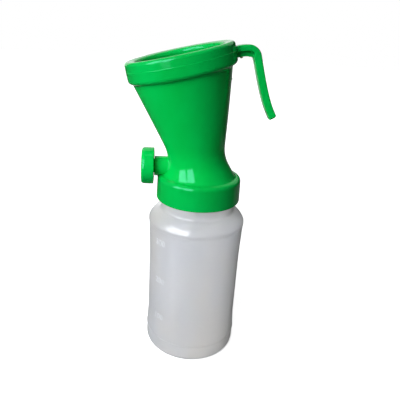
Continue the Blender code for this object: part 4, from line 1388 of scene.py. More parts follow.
    def side_x(self, y: Array, z: Array) -> Array:
        """Where the plug's side of the skin stands.

        Args:
            y: Places across.
            z: Heights.

        Returns:
            For each (y, z), the round's centre x less the root of radius^2 - y^2.
        """
        foot = np.array([(self.collar_radius, self.levels.collar_foot)])
        collar = self.axis_rounds(np.vstack([foot, self.collar_round()]))
        rounds = np.vstack([collar, self.outer_wall()])
        rounds = rounds[np.argsort(rounds[:, 1], kind="stable")]
        centre = np.interp(z, rounds[:, 1], rounds[:, 0])
        radius = np.interp(z, rounds[:, 1], rounds[:, 2])
        return centre - np.sqrt(np.maximum(radius ** 2 - y ** 2, 0.0))

    def spigot_grid(self) -> Array:
        """The tube that the plug slides in, with a fillet where it leaves the neck.

        At each angle the fillet is a quadratic curve from the neck's skin, a root's width outside the tube,
        through the corner of tube and neck, to the tube a root's width further out.

        Returns:
            A grid from the closed inner end round the outside to the bore's floor.
        """
        angle = turns(96)
        plug, tube, root = self.levels.plug, self.spigot_radius, self.spigot_root

        def meeting(radius: float) -> Array:
            """Where the neck's skin stands at that radius from the spigot's axis."""
            return self.side_x(radius * np.cos(angle), plug + radius * np.sin(angle))

        corner = np.stack([meeting(tube), np.full_like(angle, tube)], axis=-1)
        start = np.stack([meeting(tube + root) + SUNK, np.full_like(angle, tube + root)], axis=-1)
        end = corner - np.array((root, 0.0))
        curve = quadratic(start, corner, end, np.linspace(0.0, 1.0, 9)[:, None, None])
        inner_end = self.bore_depth + self.spigot_back
        flat = np.stack([corner[:, 0] + self.spigot_overlap, np.full_like(angle, tube)], axis=-1)[None]

        def rows(points: Array) -> Array:
            """The same (x, radius) points at every angle."""
            return np.broadcast_to(points[:, None], (len(points), len(angle), 2))

        back = np.array([(inner_end, 0.0), (inner_end, tube)])
        mouth_x = -self.spigot_reach
        mouth = rounded(
            np.array([
                (self.spigot_tip - self.spigot_reach, tube), (mouth_x, tube), (mouth_x, self.bore_radius),
                (self.bore_depth, self.bore_radius), (self.bore_depth, 0.0),
            ]),
            (0.0, *self.spigot_edges, self.fine_edge, 0.0),
        )
        path = np.concatenate([rows(back), flat, curve, rows(mouth[5:])])
        x, radius = path[..., 0], path[..., 1]
        return np.stack([x, radius * np.cos(angle), plug + radius * np.sin(angle)], axis=-1)

    def socket_profile(self) -> Array:
        """The mixer's socket under the bore.

        Returns:
            A closed loop of (radius, height).
        """
        foot = self.levels.ledge - self.socket_length
        roof = self.levels.plug - self.bore_radius - self.socket_roof
        top = self.levels.plug - self.socket_drop
        corners = np.array([
            (self.port_radius, top), (self.port_radius, roof), (self.socket_bore, roof),
            (self.socket_bore, foot), (self.socket_radius, foot), (self.socket_radius, top),
        ])
        fine, edge = self.fine_edge, self.bore_edge
        return rounded(corners, (fine, fine, fine, edge, edge, fine), steps=2)

    def make_shell(self) -> bpy.types.Object:
        """The collar, neck, cup and rim, opened where the spigot's bore passes the wall.

        Returns:
            The new object.
        """
        shell = solid("head_shell", [self.grid(self.skin())], wrap_rows=True)
        cutter_radius = 0.5 * (self.bore_radius + self.spigot_radius)
        cutter_end = self.spigot_reach + self.spigot_tip
        profile = np.array([(cutter_radius, self.opening_from), (cutter_radius, cutter_end)])
        cutter = solid("wall_opening", [capped(sideways(profile, 64, self.levels.plug))])
        combine(shell, [cutter], Operation.CUT)
        return shell

    def make_spigot(self) -> bpy.types.Object:
        """The spigot with the foam's port in its roof and the liquid's port in its floor.

        Returns:
            The new object.
        """
        spigot = solid("head_spigot", [self.spigot_grid()])
        plug = self.levels.plug
        up = np.array([(self.outlet_radius, plug), (self.outlet_radius, plug + self.port_reach)])
        down = np.array([(self.port_radius, plug - self.port_reach), (self.port_radius, plug)])
        ports = [
            solid("foam_port", [capped(upright(up, 48, self.waist_shift))]),
            solid("liquid_port", [capped(upright(down, 48))]),
        ]
        combine(spigot, ports, Operation.CUT)
        return spigot

    def build(self) -> None:
        """Make the head's pieces and put them on their body."""
        start_z = self.levels.mouth - THREAD.drop + 0.5 * THREAD.pitch
        pieces = [
            self.make_shell(),
            self.make_spigot(),
            solid("head_socket", [upright(self.socket_profile(), 96)], wrap_rows=True),
            solid("head_thread", [THREAD.ridge(self.collar_bore, -1.0, start_z)]),
            solid("head_hook", [Hook(self).grid()]),
            solid("head_gate_marks", [self.collar_mark(), bead(self.cup_mark, self.cup_mark_radii)]),
        ]
        for piece in pieces:
            place_piece(piece, self.finish, Body.HEAD, "green_plastic", "cup_head")
        nub = solid("head_gate_nub", [bead(self.gate_nub, self.gate_nub_radii)])
        place_piece(nub, GATE_SCAR, Body.HEAD, "green_plastic", "cup_head")

    def collar_mark(self) -> Array:
        """A small round mould mark on the collar.

        At a share s of its radius it stands out by height * cos(90 degrees * s), less its root * s.

        Returns:
            A capped grid.
        """
        radius, height = self.collar_mark_size
        angle = turns(16)
        share = np.linspace(0.0, 1.0, 7)[:, None]
        out = height * np.cos(0.5 * np.pi * share) - SUNK * share
        aside, up = radius * share * np.cos(angle), radius * share * np.sin(angle)
        collar_height = self.levels.ledge - self.levels.collar_foot
        side = self.collar_radius - self.collar_draft * self.collar_mark_rise / collar_height
        place = math.radians(self.collar_mark_deg - 90.0) + aside / self.collar_radius
        z = self.levels.collar_foot + self.collar_mark_rise + up
        distance = side + np.broadcast_to(out, up.shape)
        return capped(np.stack([distance * np.cos(place), distance * np.sin(place), z], axis=-1))


@dataclass
class Hook:
    """The hanging hook: a T-section, a flange over a web, carried along a path in the plane of symmetry.

    Places along the path are counted in its knots' spans: the section is swollen near the root, and from
    fade_from on it turns from the root's sizes to the leg's.
    """

    head: Head
    flange: float = 0.0090
    thickness: float = 0.0039
    leg_thickness: float = 0.0051
    edge: float = 0.0013
    web: float = 0.0030
    web_edge: float = 0.0006
    web_root: float = 0.0034
    web_leg: float = 0.0002
    taper: float = 0.12
    rise: float = 0.0018
    root_rise: float = 0.0016
    root_depth: float = 0.0030
    reach: float = 0.0197
    bend: float = 0.0085
    leg: float = 0.0396
    leg_lean_deg: float = 16.2
    tip_lean_deg: float = 28.0
    tip_length: float = 0.0015
    tip_power: float = 0.62
    root_drop: float = 0.0003
    inner_edge: float = 0.0005
    swell: float = 0.16
    swell_from: float = 0.55
    swell_run: float = 0.75
    fade_from: float = 6.6
    fade_run: float = 4.4
    rise_spans: int = 3
    bend_spans: int = 7
    leg_spans: int = 6
    span_steps: int = 7

    def line(self) -> Array:
        """The hook's back: a sine rise, an arc, and a leg whose lean grows with the cube of its length.

        Returns:
            Knots (n, 2) as (x, z).
        """
        head = self.head
        rim = head.rim_radius
        root = head.rim_rounds(np.array([(rim, head.rim_part_line + self.root_rise)]))[0]
        side = root[:2] + rim * np.array((math.cos(head.tilt), math.sin(head.tilt)))
        start = side - np.array((self.root_depth, self.root_drop))
        crest = side + np.array((self.reach - self.root_depth - self.bend, self.rise))
        lean = math.radians(self.leg_lean_deg)
        bow = math.radians(self.tip_lean_deg) - lean
        share = np.arange(self.rise_spans)[:, None] / self.rise_spans
        climb = start + (crest - start) * np.hstack([share, np.sin(0.5 * np.pi * share)])
        turn = (0.5 * np.pi - lean) * np.arange(self.bend_spans + 1)[:, None] / self.bend_spans
        arch = crest - np.array((0.0, self.bend)) + self.bend * np.hstack([np.sin(turn), np.cos(turn)])
        heading = lean + bow * (np.arange(1, self.leg_spans + 1)[:, None] / self.leg_spans) ** 3
        stride = self.leg / self.leg_spans * np.hstack([np.sin(heading), -np.cos(heading)])
        return np.vstack([climb, arch, arch[-1] + np.cumsum(stride, axis=0)])

    def grid(self) -> Array:
        """The T-section set square to the path at each of its points, with a dome on the tip.

        Point (s, k) lies at path(s) + inward(s) * down(k), at across(k) from the plane of symmetry.

        Returns:
            A capped grid.
        """
        path = spline(self.line(), self.span_steps)
        count = np.arange(len(path)) / self.span_steps
        slope = np.gradient(path, axis=0)
        slope /= np.linalg.norm(slope, axis=1, keepdims=True)
        inward = np.column_stack([slope[:, 1], -slope[:, 0]])
        scale = 1.0 - self.taper * count / count[-1]
        swell = 1.0 + self.swell * smoothstep(1.0 - (count - self.swell_from) / self.swell_run)
        fade = smoothstep((count - self.fade_from) / self.fade_run)
        depth = self.web_root + (self.web_leg - self.web_root) * fade
        half, web = 0.5 * self.flange * scale * swell, 0.5 * self.web * scale * swell
        thick = self.thickness + (self.leg_thickness - self.thickness) * fade
        zero = np.zeros_like(half)
        right = [(half, zero), (half, thick), (web, thick), (web, thick + depth)]
        left = [(-across, down) for across, down in reversed(right)]
        corners = np.stack([np.stack(pair, axis=-1) for pair in right + left], axis=1)
        setbacks = (self.edge, 0.6 * self.edge, self.inner_edge, self.web_edge)
        section = rounded(corners, setbacks + setbacks[::-1], steps=5)
        across, down = section[..., 0], section[..., 1]
        x = path[:, :1] + inward[:, :1] * down
        z = path[:, 1:] + inward[:, 1:] * down
        rows = np.stack([x, across, z], axis=-1)
        turn = np.linspace(0.0, 0.5 * np.pi, 10)[1:, None, None]
        middle = rows[-1].mean(axis=0)
        heading = np.array((slope[-1, 0], 0.0, slope[-1, 1]))
        shrunk = (rows[-1] - middle) * np.cos(turn) ** self.tip_power
        tip = middle + shrunk + heading * self.tip_length * np.sin(turn)
        return capped(np.concatenate([rows, tip]))


@dataclass
class SidePlug:
    """The pull-out plug with its knob, sealing ring and the foaming sponge in its barrel.

    The dish is the knob's hollowed face, with a bend at (radius, depth). The pip is a mould mark on its edge.
    """

    levels: Levels
    finish: MouldedPlastic = GREEN
    spigot_reach: float = 0.0310
    knob_radius: float = 0.0125
    knob_thickness: float = 0.0084
    knob_fillet: float = 0.0028
    knob_wall: float = 0.0021
    knob_face: float = 0.0028
    hub_radius: float = 0.0072
    rib: float = 0.0012
    rib_inset: float = 0.0008
    rib_root: float = 0.0003
    rib_edge: float = 0.0001
    shank_radius: float = 0.00465
    barrel_wall: float = 0.0010
    window_width: float = 0.0044
    window_reach: float = 0.010
    window_edge: float = 0.0008
    barrel_end: float = -0.0074
    ring_tube: float = 0.0006
    ring_radius: float = 0.0041
    ring_inset: float = 0.0040
    sponge_length: float = 0.0140
    window: tuple[float, float] = (-0.0065, 0.0030)
    dish_depth: float = 0.0004
    dish_bend: tuple[float, float] = (0.0055, 0.0003)
    dish_inset: float = 0.0035
    knob_draft: float = 0.0003
    knob_edge: float = 0.0008
    wall_edge: float = 0.0005
    shank_edge: float = 0.0004
    groove_edge: float = 0.00015
    barrel_edge: float = 0.0002
    sponge_edge: float = 0.0005
    sponge_margin: float = 0.0006
    sponge_rows: int = 90
    sponge_columns: int = 110
    pit_depth: float = 0.00022
    pit_seed: int = 7
    pit_fade_rows: float = 4.0
    wave_depth: float = 0.00006
    waves_round: float = 17.0
    waves_along: float = 5200.0
    pip: tuple[float, float, float] = (-0.0353, -0.00992, 0.13197)
    pip_radii: tuple[float, float, float] = (0.0005, 0.0004, 0.0004)

    def profile(self) -> Array:
        """The turned plug, from the knob's face to the sponge's seat.

        Returns:
            Points (n, 2) as (radius, distance towards -X).
        """
        hub = self.spigot_reach + SEAT_GAP
        face = hub + self.knob_thickness
        core = self.knob_radius - self.knob_wall
        groove = self.spigot_reach - self.ring_inset
        half = self.ring_tube + SEAT_GAP
        depth = self.ring_radius - self.ring_tube - SEAT_GAP
        shank, barrel = self.shank_radius, self.shank_radius - self.barrel_wall
        seat = 0.5 * self.sponge_length + SEAT_GAP
        dish = np.array([
            (0.0, face - self.dish_depth), (self.dish_bend[0], face - self.dish_bend[1]),
            (self.knob_radius - self.dish_inset, face),
        ])
        floor = face - self.knob_face
        corners = np.array([
            dish[-1], (self.knob_radius, face), (self.knob_radius, hub), (core, hub),
            (core - self.knob_draft, floor), (self.hub_radius, floor), (self.hub_radius, hub), (shank, hub),
            (shank, groove + half), (depth, groove + half), (depth, groove - half), (shank, groove - half),
            (shank, self.barrel_end), (barrel, self.barrel_end), (barrel, seat), (0.0, seat),
        ])
        setbacks = (
            0.0, self.knob_fillet, self.knob_edge, self.wall_edge, self.knob_edge, self.knob_edge,
            self.shank_edge, self.shank_edge, *(self.groove_edge,) * 4,
            self.shank_edge, self.barrel_edge, self.barrel_edge, 0.0,
        )
        steps = 7
        return braced(np.vstack([spline(dish, 4), rounded(corners, setbacks, steps)[steps:]]))

    def make_plug(self) -> bpy.types.Object:
        """The plug, with its cross ribs joined and the foam's windows cut.

        Returns:
            The new object.
        """
        plug = solid("side_plug", [sideways(self.profile(), 128, self.levels.plug)])
        hub = self.spigot_reach + SEAT_GAP
        depth = self.knob_thickness - self.knob_face
        span = self.knob_radius - self.knob_wall + self.rib_root
        centre = Matrix.Translation((0.0, 0.0, self.levels.plug))
        ribs = []
        for index in range(2):
            turn = centre @ Matrix.Rotation((0.5 * index + 0.25) * math.pi, 4, "X")
            low = (-(hub + self.rib_inset + depth), -0.5 * self.rib, -span)
            high = (-(hub + self.rib_inset), 0.5 * self.rib, span)
            ribs.append(solid(f"knob_rib_{index}", [box_grid(low, high, self.rib_edge, turn)]))
        combine(plug, ribs, Operation.JOIN)
        low = (self.window[0], -0.5 * self.window_width, -self.window_reach)
        high = (self.window[1], 0.5 * self.window_width, self.window_reach)
        combine(plug, [solid("window", [box_grid(low, high, self.window_edge, centre)])], Operation.CUT)
        return plug

    def make_ring(self) -> bpy.types.Object:
        """The round sealing ring."""
        profile = arc((self.ring_radius, self.spigot_reach - self.ring_inset), self.ring_tube, 0.0, 337.5, 15)
        return solid("plug_ring", [sideways(profile, 96, self.levels.plug)], wrap_rows=True)

    def make_sponge(self) -> bpy.types.Object:
        """The foaming sponge: a roll whose side is pitted by two crossed sine waves and a seeded noise.

        Its radius loses pit * random + wave * (1 + sin(n * angle) * sin(k * distance)), fading at both ends.

        Returns:
            The new object.
        """
        radius = self.shank_radius - self.barrel_wall - SEAT_GAP
        half = 0.5 * self.sponge_length
        corners = np.array([(0.0, half), (radius, half), (radius, -half), (0.0, -half)])
        ends = rounded(corners, (0.0, self.sponge_edge, self.sponge_edge, 0.0), steps=5)
        along = np.linspace(half - self.sponge_margin, self.sponge_margin - half, self.sponge_rows)
        side = np.column_stack([np.full(self.sponge_rows, radius), along])
        profile = np.vstack([ends[4:12], side, ends[12:20]])
        grid = sideways(profile, self.sponge_columns, 0.0)
        rng = np.random.default_rng(self.pit_seed)
        pits = self.pit_depth * rng.random(grid.shape[:2])
        around = np.sin(self.waves_round * turns(self.sponge_columns))
        pits += self.wave_depth * (1.0 + around * np.sin(profile[:, 1:] * self.waves_along))
        fade = smoothstep(np.arange(len(profile)) / self.pit_fade_rows)
        pits *= (fade * fade[::-1])[:, None]
        grid[..., 1:] *= (1.0 - pits / radius)[..., None]
        grid[..., 2] += self.levels.plug
        return solid("foam_roll", [grid])

    def build(self) -> None:
        """Make the plug's pieces and put them on their bodies."""
        place_piece(self.make_plug(), self.finish, Body.PLUG, "green_plastic", "foam_plug")
        pip = solid("plug_pip", [bead(self.pip, self.pip_radii)])
        place_piece(pip, self.finish, Body.PLUG, "green_plastic", "foam_plug")
        place_piece(self.make_ring(), BLACK_RUBBER, Body.PLUG_SEAL, "rubber", "plug_o_ring", sharp_deg=80.0)
        sponge = place_piece(self.make_sponge(), GREY_FOAM, Body.PLUG, "foam", "foam_sponge", sharp_deg=80.0)


@dataclass
class Outlet:
    """The slotted cap in the cup's floor and the woven wire under it.

    The weave is the height of a wire's waves in wire radii, and the hoop is the ring that holds the wires.
    """

    levels: Levels
    centre_x: float = -0.0031
    radius: float = 0.0084
    thickness: float = 0.0015
    crown: float = 0.0008
    skirt_radius: float = 0.0065
    skirt_wall: float = 0.0009
    well_depth: float = 0.0016
    slots: int = 8
    slot_width: float = 0.0012
    slot_from: float = 0.0020
    slot_to: float = 0.0050
    screen_radius: float = 0.0053
    screen_thickness: float = 0.0005
    wire_pitch: float = 0.00062
    wire_radius: float = 0.00011
    wire_inset: float = 0.0003
    weave: float = 1.05
    shortest_squared: float = 1e-8
    hoop_inset: float = 0.00025
    hoop_radius: float = 0.00024
    cap_edge: float = 0.0008
    skirt_edge: float = 0.0002
    slot_edge: float = 0.0006
    slot_reach: tuple[float, float] = (0.001, 0.002)

    def make_cap(self) -> bpy.types.Object:
        """The crowned disc on its skirt: the crown's height falls with the square of the radius.

        Returns:
            The new object.
        """
        low = self.levels.floor + SEAT_GAP
        high = low + self.thickness
        inner = self.skirt_radius - self.skirt_wall
        skirt_low = self.levels.floor - self.well_depth + SEAT_GAP
        share = np.linspace(0.0, 1.0, 12)[:, None]
        crown = np.hstack([share * (self.radius - self.cap_edge), high + self.crown * (1.0 - share ** 2)])
        side = rounded(
            np.array([
                crown[-1], (self.radius, high), (self.radius, low), (self.skirt_radius, low),
                (self.skirt_radius, skirt_low), (inner, skirt_low), (inner, low), (0.0, low),
            ]),
            (0.0, self.cap_edge, *(self.skirt_edge,) * 5, 0.0),
        )
        cap = solid("outlet_cap", [upright(np.vstack([crown, side[1:]]), 96, self.centre_x)])
        slots = []
        for index in range(self.slots):
            turn = Matrix.Translation((self.centre_x, 0.0, 0.0))
            turn = turn @ Matrix.Rotation(2.0 * math.pi * index / self.slots, 4, "Z")
            lowest = (self.slot_from, -0.5 * self.slot_width, low - self.slot_reach[0])
            highest = (self.slot_to, 0.5 * self.slot_width, high + self.slot_reach[1])
            slots.append(solid(f"slot_{index}", [box_grid(lowest, highest, self.slot_edge, turn)]))
        combine(cap, slots, Operation.CUT)
        return cap

    def make_wires(self) -> bpy.types.Object:
        """Woven wire in a rolled ring.

        Each wire's middle line runs straight across the disc and waves up and down as
        amplitude * sin(pi * distance / pitch), with its neighbour half a wave behind and the crossing wires
        the other way round.

        Returns:
            The new object.
        """
        middle_z = self.levels.floor - 0.5 * self.screen_thickness
        count = int(self.screen_radius / self.wire_pitch)
        offset = (np.arange(-count, count + 1) * self.wire_pitch)[:, None]
        reach = self.screen_radius - self.wire_inset
        chord = np.sqrt(np.maximum(reach ** 2 - offset ** 2, self.shortest_squared))
        distance = chord * np.linspace(-1.0, 1.0, 61)
        parity = np.where(np.arange(len(offset)) % 2 == 0, 1.0, -1.0)[:, None]
        amplitude = self.weave * self.wire_radius
        wave = amplitude * np.sin(np.pi * (distance / self.wire_pitch + 0.5)) * parity
        angle = turns(6)
        grids = []
        for direction in (1.0, -1.0):
            across = np.broadcast_to(offset, distance.shape)
            ring_a = across[..., None] + self.wire_radius * np.cos(angle)
            ring_z = middle_z + direction * wave[..., None] + self.wire_radius * np.sin(angle)
            run = np.broadcast_to(distance[..., None], ring_a.shape)
            if direction > 0.0:
                wires = np.stack([self.centre_x + run, ring_a, ring_z], axis=-1)
            else:
                wires = np.stack([self.centre_x + ring_a, run, ring_z], axis=-1)
            grids += [capped(wire) for wire in wires]
        loop = arc((self.screen_radius - self.hoop_inset, middle_z), self.hoop_radius, 0.0, 330.0, 11)
        ring = upright(np.vstack([loop, loop[:1]]), 72, self.centre_x)
        return solid("outlet_wires", grids + [ring])

    def build(self) -> None:
        """Make the outlet's pieces and put them on the head."""
        place_piece(self.make_cap(), WHITE, Body.HEAD, "white_plastic", "outlet_grid")
        place_piece(self.make_wires(), WIRE_STEEL, Body.HEAD, "steel", "outlet_screen", sharp_deg=80.0)


@dataclass
class Mixer:
    """The dip tube, the mixer insert with its ball and retainer, and the mouth's gasket."""

    levels: Levels
    tube_radius: float = 0.0030
    tube_wall: float = 0.0010
    cut_deg: float = 35.0
    gasket_inner: float = 0.0213
    gasket_outer: float = 0.0261
    gasket_thickness: float = 0.0016
    gasket_edge: float = 0.0004
    ball_radius: float = 0.0016

    def make_tube(self) -> bpy.types.Object:
        """The dip tube: at its foot the height grows with x * tan(cut), which slants the end.

        Returns:
            The new object.
        """
        low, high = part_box("dip_tube")
        inner = self.tube_radius - self.tube_wall
        length = high.z - low.z
        height = np.linspace(low.z, high.z, 60)
        outside = np.column_stack([np.full_like(height, self.tube_radius), height])
        inside = np.column_stack([np.full_like(height, inner), height])[::-1]
        grid = upright(np.vstack([outside, inside]), 48)
        lift = math.tan(math.radians(self.cut_deg)) * (grid[..., 0] + self.tube_radius)
        grid[..., 2] += lift * (high.z - grid[..., 2]) / length
        return solid("dip_pipe", [grid], wrap_rows=True)

    def make_gasket(self) -> bpy.types.Object:
        """The flat ring with rounded corners.

        Returns:
            The new object.
        """
        low = self.levels.mouth + SEAT_GAP
        high = low + self.gasket_thickness
        inner, outer = self.gasket_inner, self.gasket_outer
        corners = np.array([(outer, high), (outer, low), (inner, low), (inner, high)])
        profile = rounded(corners, (self.gasket_edge,) * 4)
        return solid("mouth_ring", [upright(profile, 160)], wrap_rows=True)

    def make_ball(self) -> bpy.types.Object:
        """The ball: radius * sin(p) round its axis at height radius * cos(p).

        Returns:
            The new object.
        """
        low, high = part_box("check_ball")
        profile = arc((0.0, 0.5 * (low.z + high.z)), self.ball_radius, 90.0, -90.0, 32)
        profile[:, 0] = np.maximum(profile[:, 0], 0.0)
        return solid("valve_ball", [upright(profile, 64)])

    def build(self) -> None:
        """Make the mixer's pieces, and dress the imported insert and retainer."""
        place_piece(self.make_tube(), NATURAL, Body.HEAD, "natural_plastic", "dip_tube")
        place_piece(self.make_gasket(), BLACK_RUBBER, Body.SEAL, "rubber", "mouth_gasket", sharp_deg=80.0)
        place_piece(self.make_ball(), BALL_STEEL, Body.CHECK_VALVE, "steel", "check_ball", sharp_deg=80.0)
        for name in ("mixer_insert", "ball_retainer"):
            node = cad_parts[name]
            for slot in node.material_slots:
                slot.material = WHITE.material()
            LOG.info("%s: the packed solid in white plastic", name)


@dataclass(frozen=True)
class Pane:
    """One pane of the tall soft window, as it is seen from the object."""

    name: str
    azimuths_deg: tuple[float, float]
    elevations_deg: tuple[float, float]
    radiance: float
    mirrored: bool


@dataclass
class Studio:
    """Floor, backdrop, lamps and camera.

    Azimuths run from -Y, the camera's side, towards +X. The gloss and sheet values shape what the object's
    reflections show of the floor, and the wall, ledge, window and overhead values what they show of the room.
    """

    camera_place: tuple[float, float, float] = (-0.02467, -0.28825, 0.23211)
    looks_along: tuple[float, float, float] = (0.05281, 0.92967, -0.36460)
    camera_up: tuple[float, float, float] = (-0.03418, 0.36658, 0.92976)
    lens: float = 39.58
    sensor: float = 36.0
    clip: tuple[float, float] = (0.01, 20.0)
    shift: tuple[float, float] = (0.0349, -0.0142)
    target: tuple[float, float, float] = (0.0, 0.0, 0.15)
    pane_distance: float = 1.2
    pane_colour: Colour = (0.94, 0.97, 1.0)
    floor_radius: float = 3.0
    floor_thickness: float = 0.002
    floor_albedo: float = 0.18
    gloss_dim: float = 0.04
    gloss_side: float = 0.17
    gloss_back: float = 1.15
    gloss_from_deg: float = 107.0
    gloss_to_deg: float = 200.0
    gloss_turn: tuple[float, float] = (0.30, 0.55)
    gloss_start: tuple[float, float] = (0.14, 0.24)
    sheet_reach: tuple[float, float] = (0.53, 0.59)
    sheet_end: tuple[float, float] = (0.84, 0.90)
    floor_edge: float = 0.005
    floor_glow: tuple[float, float, float, float] = (0.2, 0.7, 0.74, 1.0)
    floor_tones: tuple[float, float] = (0.80, 0.84)
    floor_tone_scale: float = 3.0
    floor_tone_span: tuple[float, float] = (0.3, 0.7)
    least_distance: float = 0.001
    wall_deg: tuple[float, float] = (165.0, 218.0)
    wall_back: float = 0.95
    ledge_deg: tuple[float, float] = (122.0, 160.0)
    wall_side: float = 0.6
    ledge_height: float = 0.26
    ledge_edge: float = 0.05
    wall_edge: float = 0.02
    window_deg: float = -50.0
    window_glow: tuple[float, float, float, float] = (0.2, 0.95, 0.0, 0.22)
    overhead_glow: tuple[float, float, float, float] = (0.35, 0.95, 0.0, 0.14)
    room_glow: float = 0.015
    panes: tuple[Pane, ...] = (
        Pane("soft_left", (-72.0, -46.0), (4.0, 50.0), 3.9, False),
        Pane("soft_right", (-46.0, -20.0), (4.0, 50.0), 6.2, False),
        Pane("sill", (-70.0, -22.0), (-12.0, -4.5), 1.8, True),
        Pane("pane_left", (-74.0, -50.0), (-3.5, 45.0), 8.5, True),
        Pane("pane_right", (-43.5, -21.0), (-3.5, 45.0), 8.5, True),
    )

    def make_camera(self) -> None:
        """The camera at the photograph's place, angle and lens."""
        data = bpy.data.cameras.new("camera")
        data.lens = self.lens
        data.sensor_width = self.sensor
        data.shift_x, data.shift_y = self.shift
        data.clip_start, data.clip_end = self.clip
        camera = linked("camera", data)
        back = -Vector(self.looks_along).normalized()
        up = Vector(self.camera_up)
        right = up.cross(back).normalized()
        up = back.cross(right)
        turn = Matrix((right, up, back)).transposed().to_4x4()
        camera.matrix_world = Matrix.Translation(self.camera_place) @ turn
        bpy.context.scene.camera = camera

    def make_panes(self) -> None:
        """Area lamps: the power of each is its radiance * area * pi.

        Two panes light the object. Two sharper ones and a sill are what its gloss shows.
        """
        for pane in self.panes:
            data = bpy.data.lights.new(pane.name, "AREA")
            data.shape = "RECTANGLE"
            spans = [math.radians(high - low) for low, high in (pane.azimuths_deg, pane.elevations_deg)]
            data.size, data.size_y = (2.0 * self.pane_distance * math.tan(0.5 * span) for span in spans)
            data.energy = pane.radiance * data.size * data.size_y * math.pi
            data.color = self.pane_colour
            lamp = linked(pane.name, data)
            azimuth = math.radians(0.5 * sum(pane.azimuths_deg))
            elevation = math.radians(0.5 * sum(pane.elevations_deg))
            level = Vector((math.sin(azimuth), -math.cos(azimuth), 0.0))
            way = level * math.cos(elevation) + Vector((0.0, 0.0, math.sin(elevation)))
            lamp.location = Vector(self.target) + way * self.pane_distance
            lamp.rotation_euler = (-way).to_track_quat("-Z", "Y").to_euler()
            lamp.visible_glossy = pane.mirrored
            lamp.visible_diffuse = not pane.mirrored
            lamp.visible_transmission = not pane.mirrored

    def make_floor(self) -> None:
        """A wide disc: white to the camera with the object's soft shadow, dim to diffuse rays.

        To glossy rays it is darker still, apart from a bright sheet behind the object, between two azimuths.
        """
        reach = np.array([(self.floor_radius * share ** 2, 0.0) for share in np.linspace(0.0, 1.0, 24)])
        top = upright(reach, 96)
        underside = -self.floor_thickness
        base = upright(np.array([(self.floor_radius, underside), (0.0, underside)]), 96)
        floor = solid("studio_floor", [np.concatenate([top, base])])
        made = bpy.data.materials.new("pale_floor")
        made.use_nodes = True
        recipe = Recipe(made.node_tree)
        path = recipe.add("NodeLightPath")
        seen = recipe.math("MAXIMUM", path.outputs["Is Camera Ray"], path.outputs["Is Transmission Ray"])
        place = recipe.place()
        tones = tuple((value,) * 3 for value in self.floor_tones)
        tone = recipe.ramp(recipe.noise(place, self.floor_tone_scale), self.floor_tone_span, tones)
        lit = recipe.add("NodeBsdfDiffuse", {"Color": tone})
        dim = recipe.add("NodeBsdfDiffuse", {"Color": (*(self.floor_albedo,) * 3, 1.0)})
        away = recipe.add("NodeVectorMath", {0: place}, operation="LENGTH").outputs["Value"]
        level = recipe.span(away, *self.floor_glow)
        glow = recipe.add("NodeEmission", {"Color": WHITE_LIGHT, "Strength": level})
        white = recipe.add("NodeAddShader", {0: lit.outputs[0], 1: glow.outputs[0]})
        x, y, _ = recipe.add("NodeSeparateXYZ", {0: place}).outputs
        right = recipe.towards(x, y, self.gloss_to_deg - 90.0)
        sector = recipe.math("MINIMUM", recipe.towards(x, y, self.gloss_from_deg + 90.0), right)
        side = recipe.math("DIVIDE", right, recipe.math("MAXIMUM", away, self.least_distance))
        near = recipe.span(away, *self.sheet_reach, 1.0, 0.0)
        reach = recipe.math("MAXIMUM", near, recipe.span(side, *self.sheet_end, 1.0, 0.0))
        bright = recipe.span(side, *self.gloss_turn, self.gloss_back, self.gloss_side)
        bright = recipe.math("MULTIPLY", bright, reach)
        bright = recipe.math("MULTIPLY", bright, recipe.span(away, *self.gloss_start))
        bright = recipe.math("MULTIPLY", bright, recipe.span(sector, -self.floor_edge, self.floor_edge))
        mirrored = recipe.math("MAXIMUM", bright, self.gloss_dim)
        sheet = recipe.add("NodeEmission", {"Color": WHITE_LIGHT, "Strength": mirrored})
        unseen = recipe.add(
            "NodeMixShader", {0: path.outputs["Is Glossy Ray"], 1: dim.outputs[0], 2: sheet.outputs[0]},
        )
        surface = recipe.add("NodeMixShader", {0: seen, 1: unseen.outputs[0], 2: white.outputs[0]})
        recipe.add("NodeOutputMaterial", {"Surface": surface.outputs[0]})
        smooth(floor.data)
        floor.data.materials.append(made)

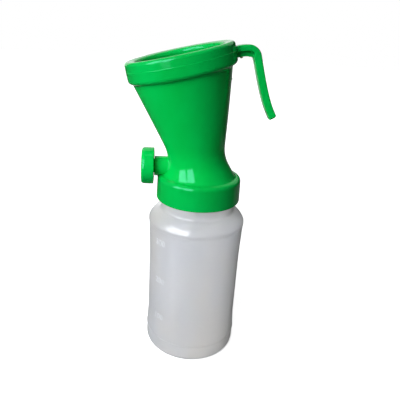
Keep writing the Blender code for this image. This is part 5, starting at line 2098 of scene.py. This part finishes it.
    def make_world(self) -> None:
        """White to the camera and through clear plastic; for other rays a room with a bright wall behind.

        The room is dim, lighter on the window's side and overhead, and white between two azimuths behind
        the object. A side of the room is where the level direction's product with a normal is positive.
        """
        world = bpy.data.worlds.new("studio")
        world.use_nodes = True
        recipe = Recipe(world.node_tree)
        way = recipe.add("NodeTexCoord").outputs["Generated"]
        x, y, z = recipe.add("NodeSeparateXYZ", {0: way}).outputs

        def between(first_deg: float, last_deg: float) -> bpy.types.NodeSocket:
            """A sector of the room.

            Args:
                first_deg: Where it starts.
                last_deg: Where it ends, less than 180 degrees further on.

            Returns:
                1 between the two azimuths and 0 outside.
            """
            edge = (-self.wall_edge, self.wall_edge)
            after = recipe.span(recipe.towards(x, y, first_deg + 90.0), *edge)
            before = recipe.span(recipe.towards(x, y, last_deg - 90.0), *edge)
            return recipe.math("MULTIPLY", after, before)

        above = recipe.span(z, self.ledge_height, self.ledge_height + self.ledge_edge, 0.0, self.wall_side)
        back_wall = recipe.math("MULTIPLY", between(*self.wall_deg), self.wall_back)
        side_wall = recipe.math("MULTIPLY", between(*self.ledge_deg), above)
        wall = recipe.math("MAXIMUM", back_wall, side_wall)
        window_side = recipe.span(recipe.towards(x, y, self.window_deg), *self.window_glow)
        overhead = recipe.span(z, *self.overhead_glow)
        room = recipe.math("ADD", recipe.math("ADD", window_side, overhead), self.room_glow)
        room = recipe.math("MAXIMUM", room, wall)
        path = recipe.add("NodeLightPath")
        clear = recipe.math("MAXIMUM", path.outputs["Is Camera Ray"], path.outputs["Is Transmission Ray"])
        strength = recipe.math("MAXIMUM", room, clear)
        back = recipe.add("NodeBackground", {"Color": WHITE_LIGHT, "Strength": strength})
        recipe.add("NodeOutputWorld", {"Surface": back.outputs[0]})
        bpy.context.scene.world = world

    def build(self) -> None:
        """Set up everything round the object."""
        bpy.context.scene.view_settings.view_transform = "Standard"
        self.make_camera()
        self.make_panes()
        self.make_floor()
        self.make_world()


def main() -> None:
    """Build the studio and every sub-assembly, and report each piece."""
    logging.basicConfig(level=logging.INFO, format="%(name)s %(message)s")
    levels = Levels.from_frame()
    Studio().build()
    for part in (Bottle(levels), Head(levels), SidePlug(levels), Outlet(levels), Mixer(levels)):
        LOG.info("building %s", type(part).__name__)
        part.build()


if __name__ == "__main__":
    main()
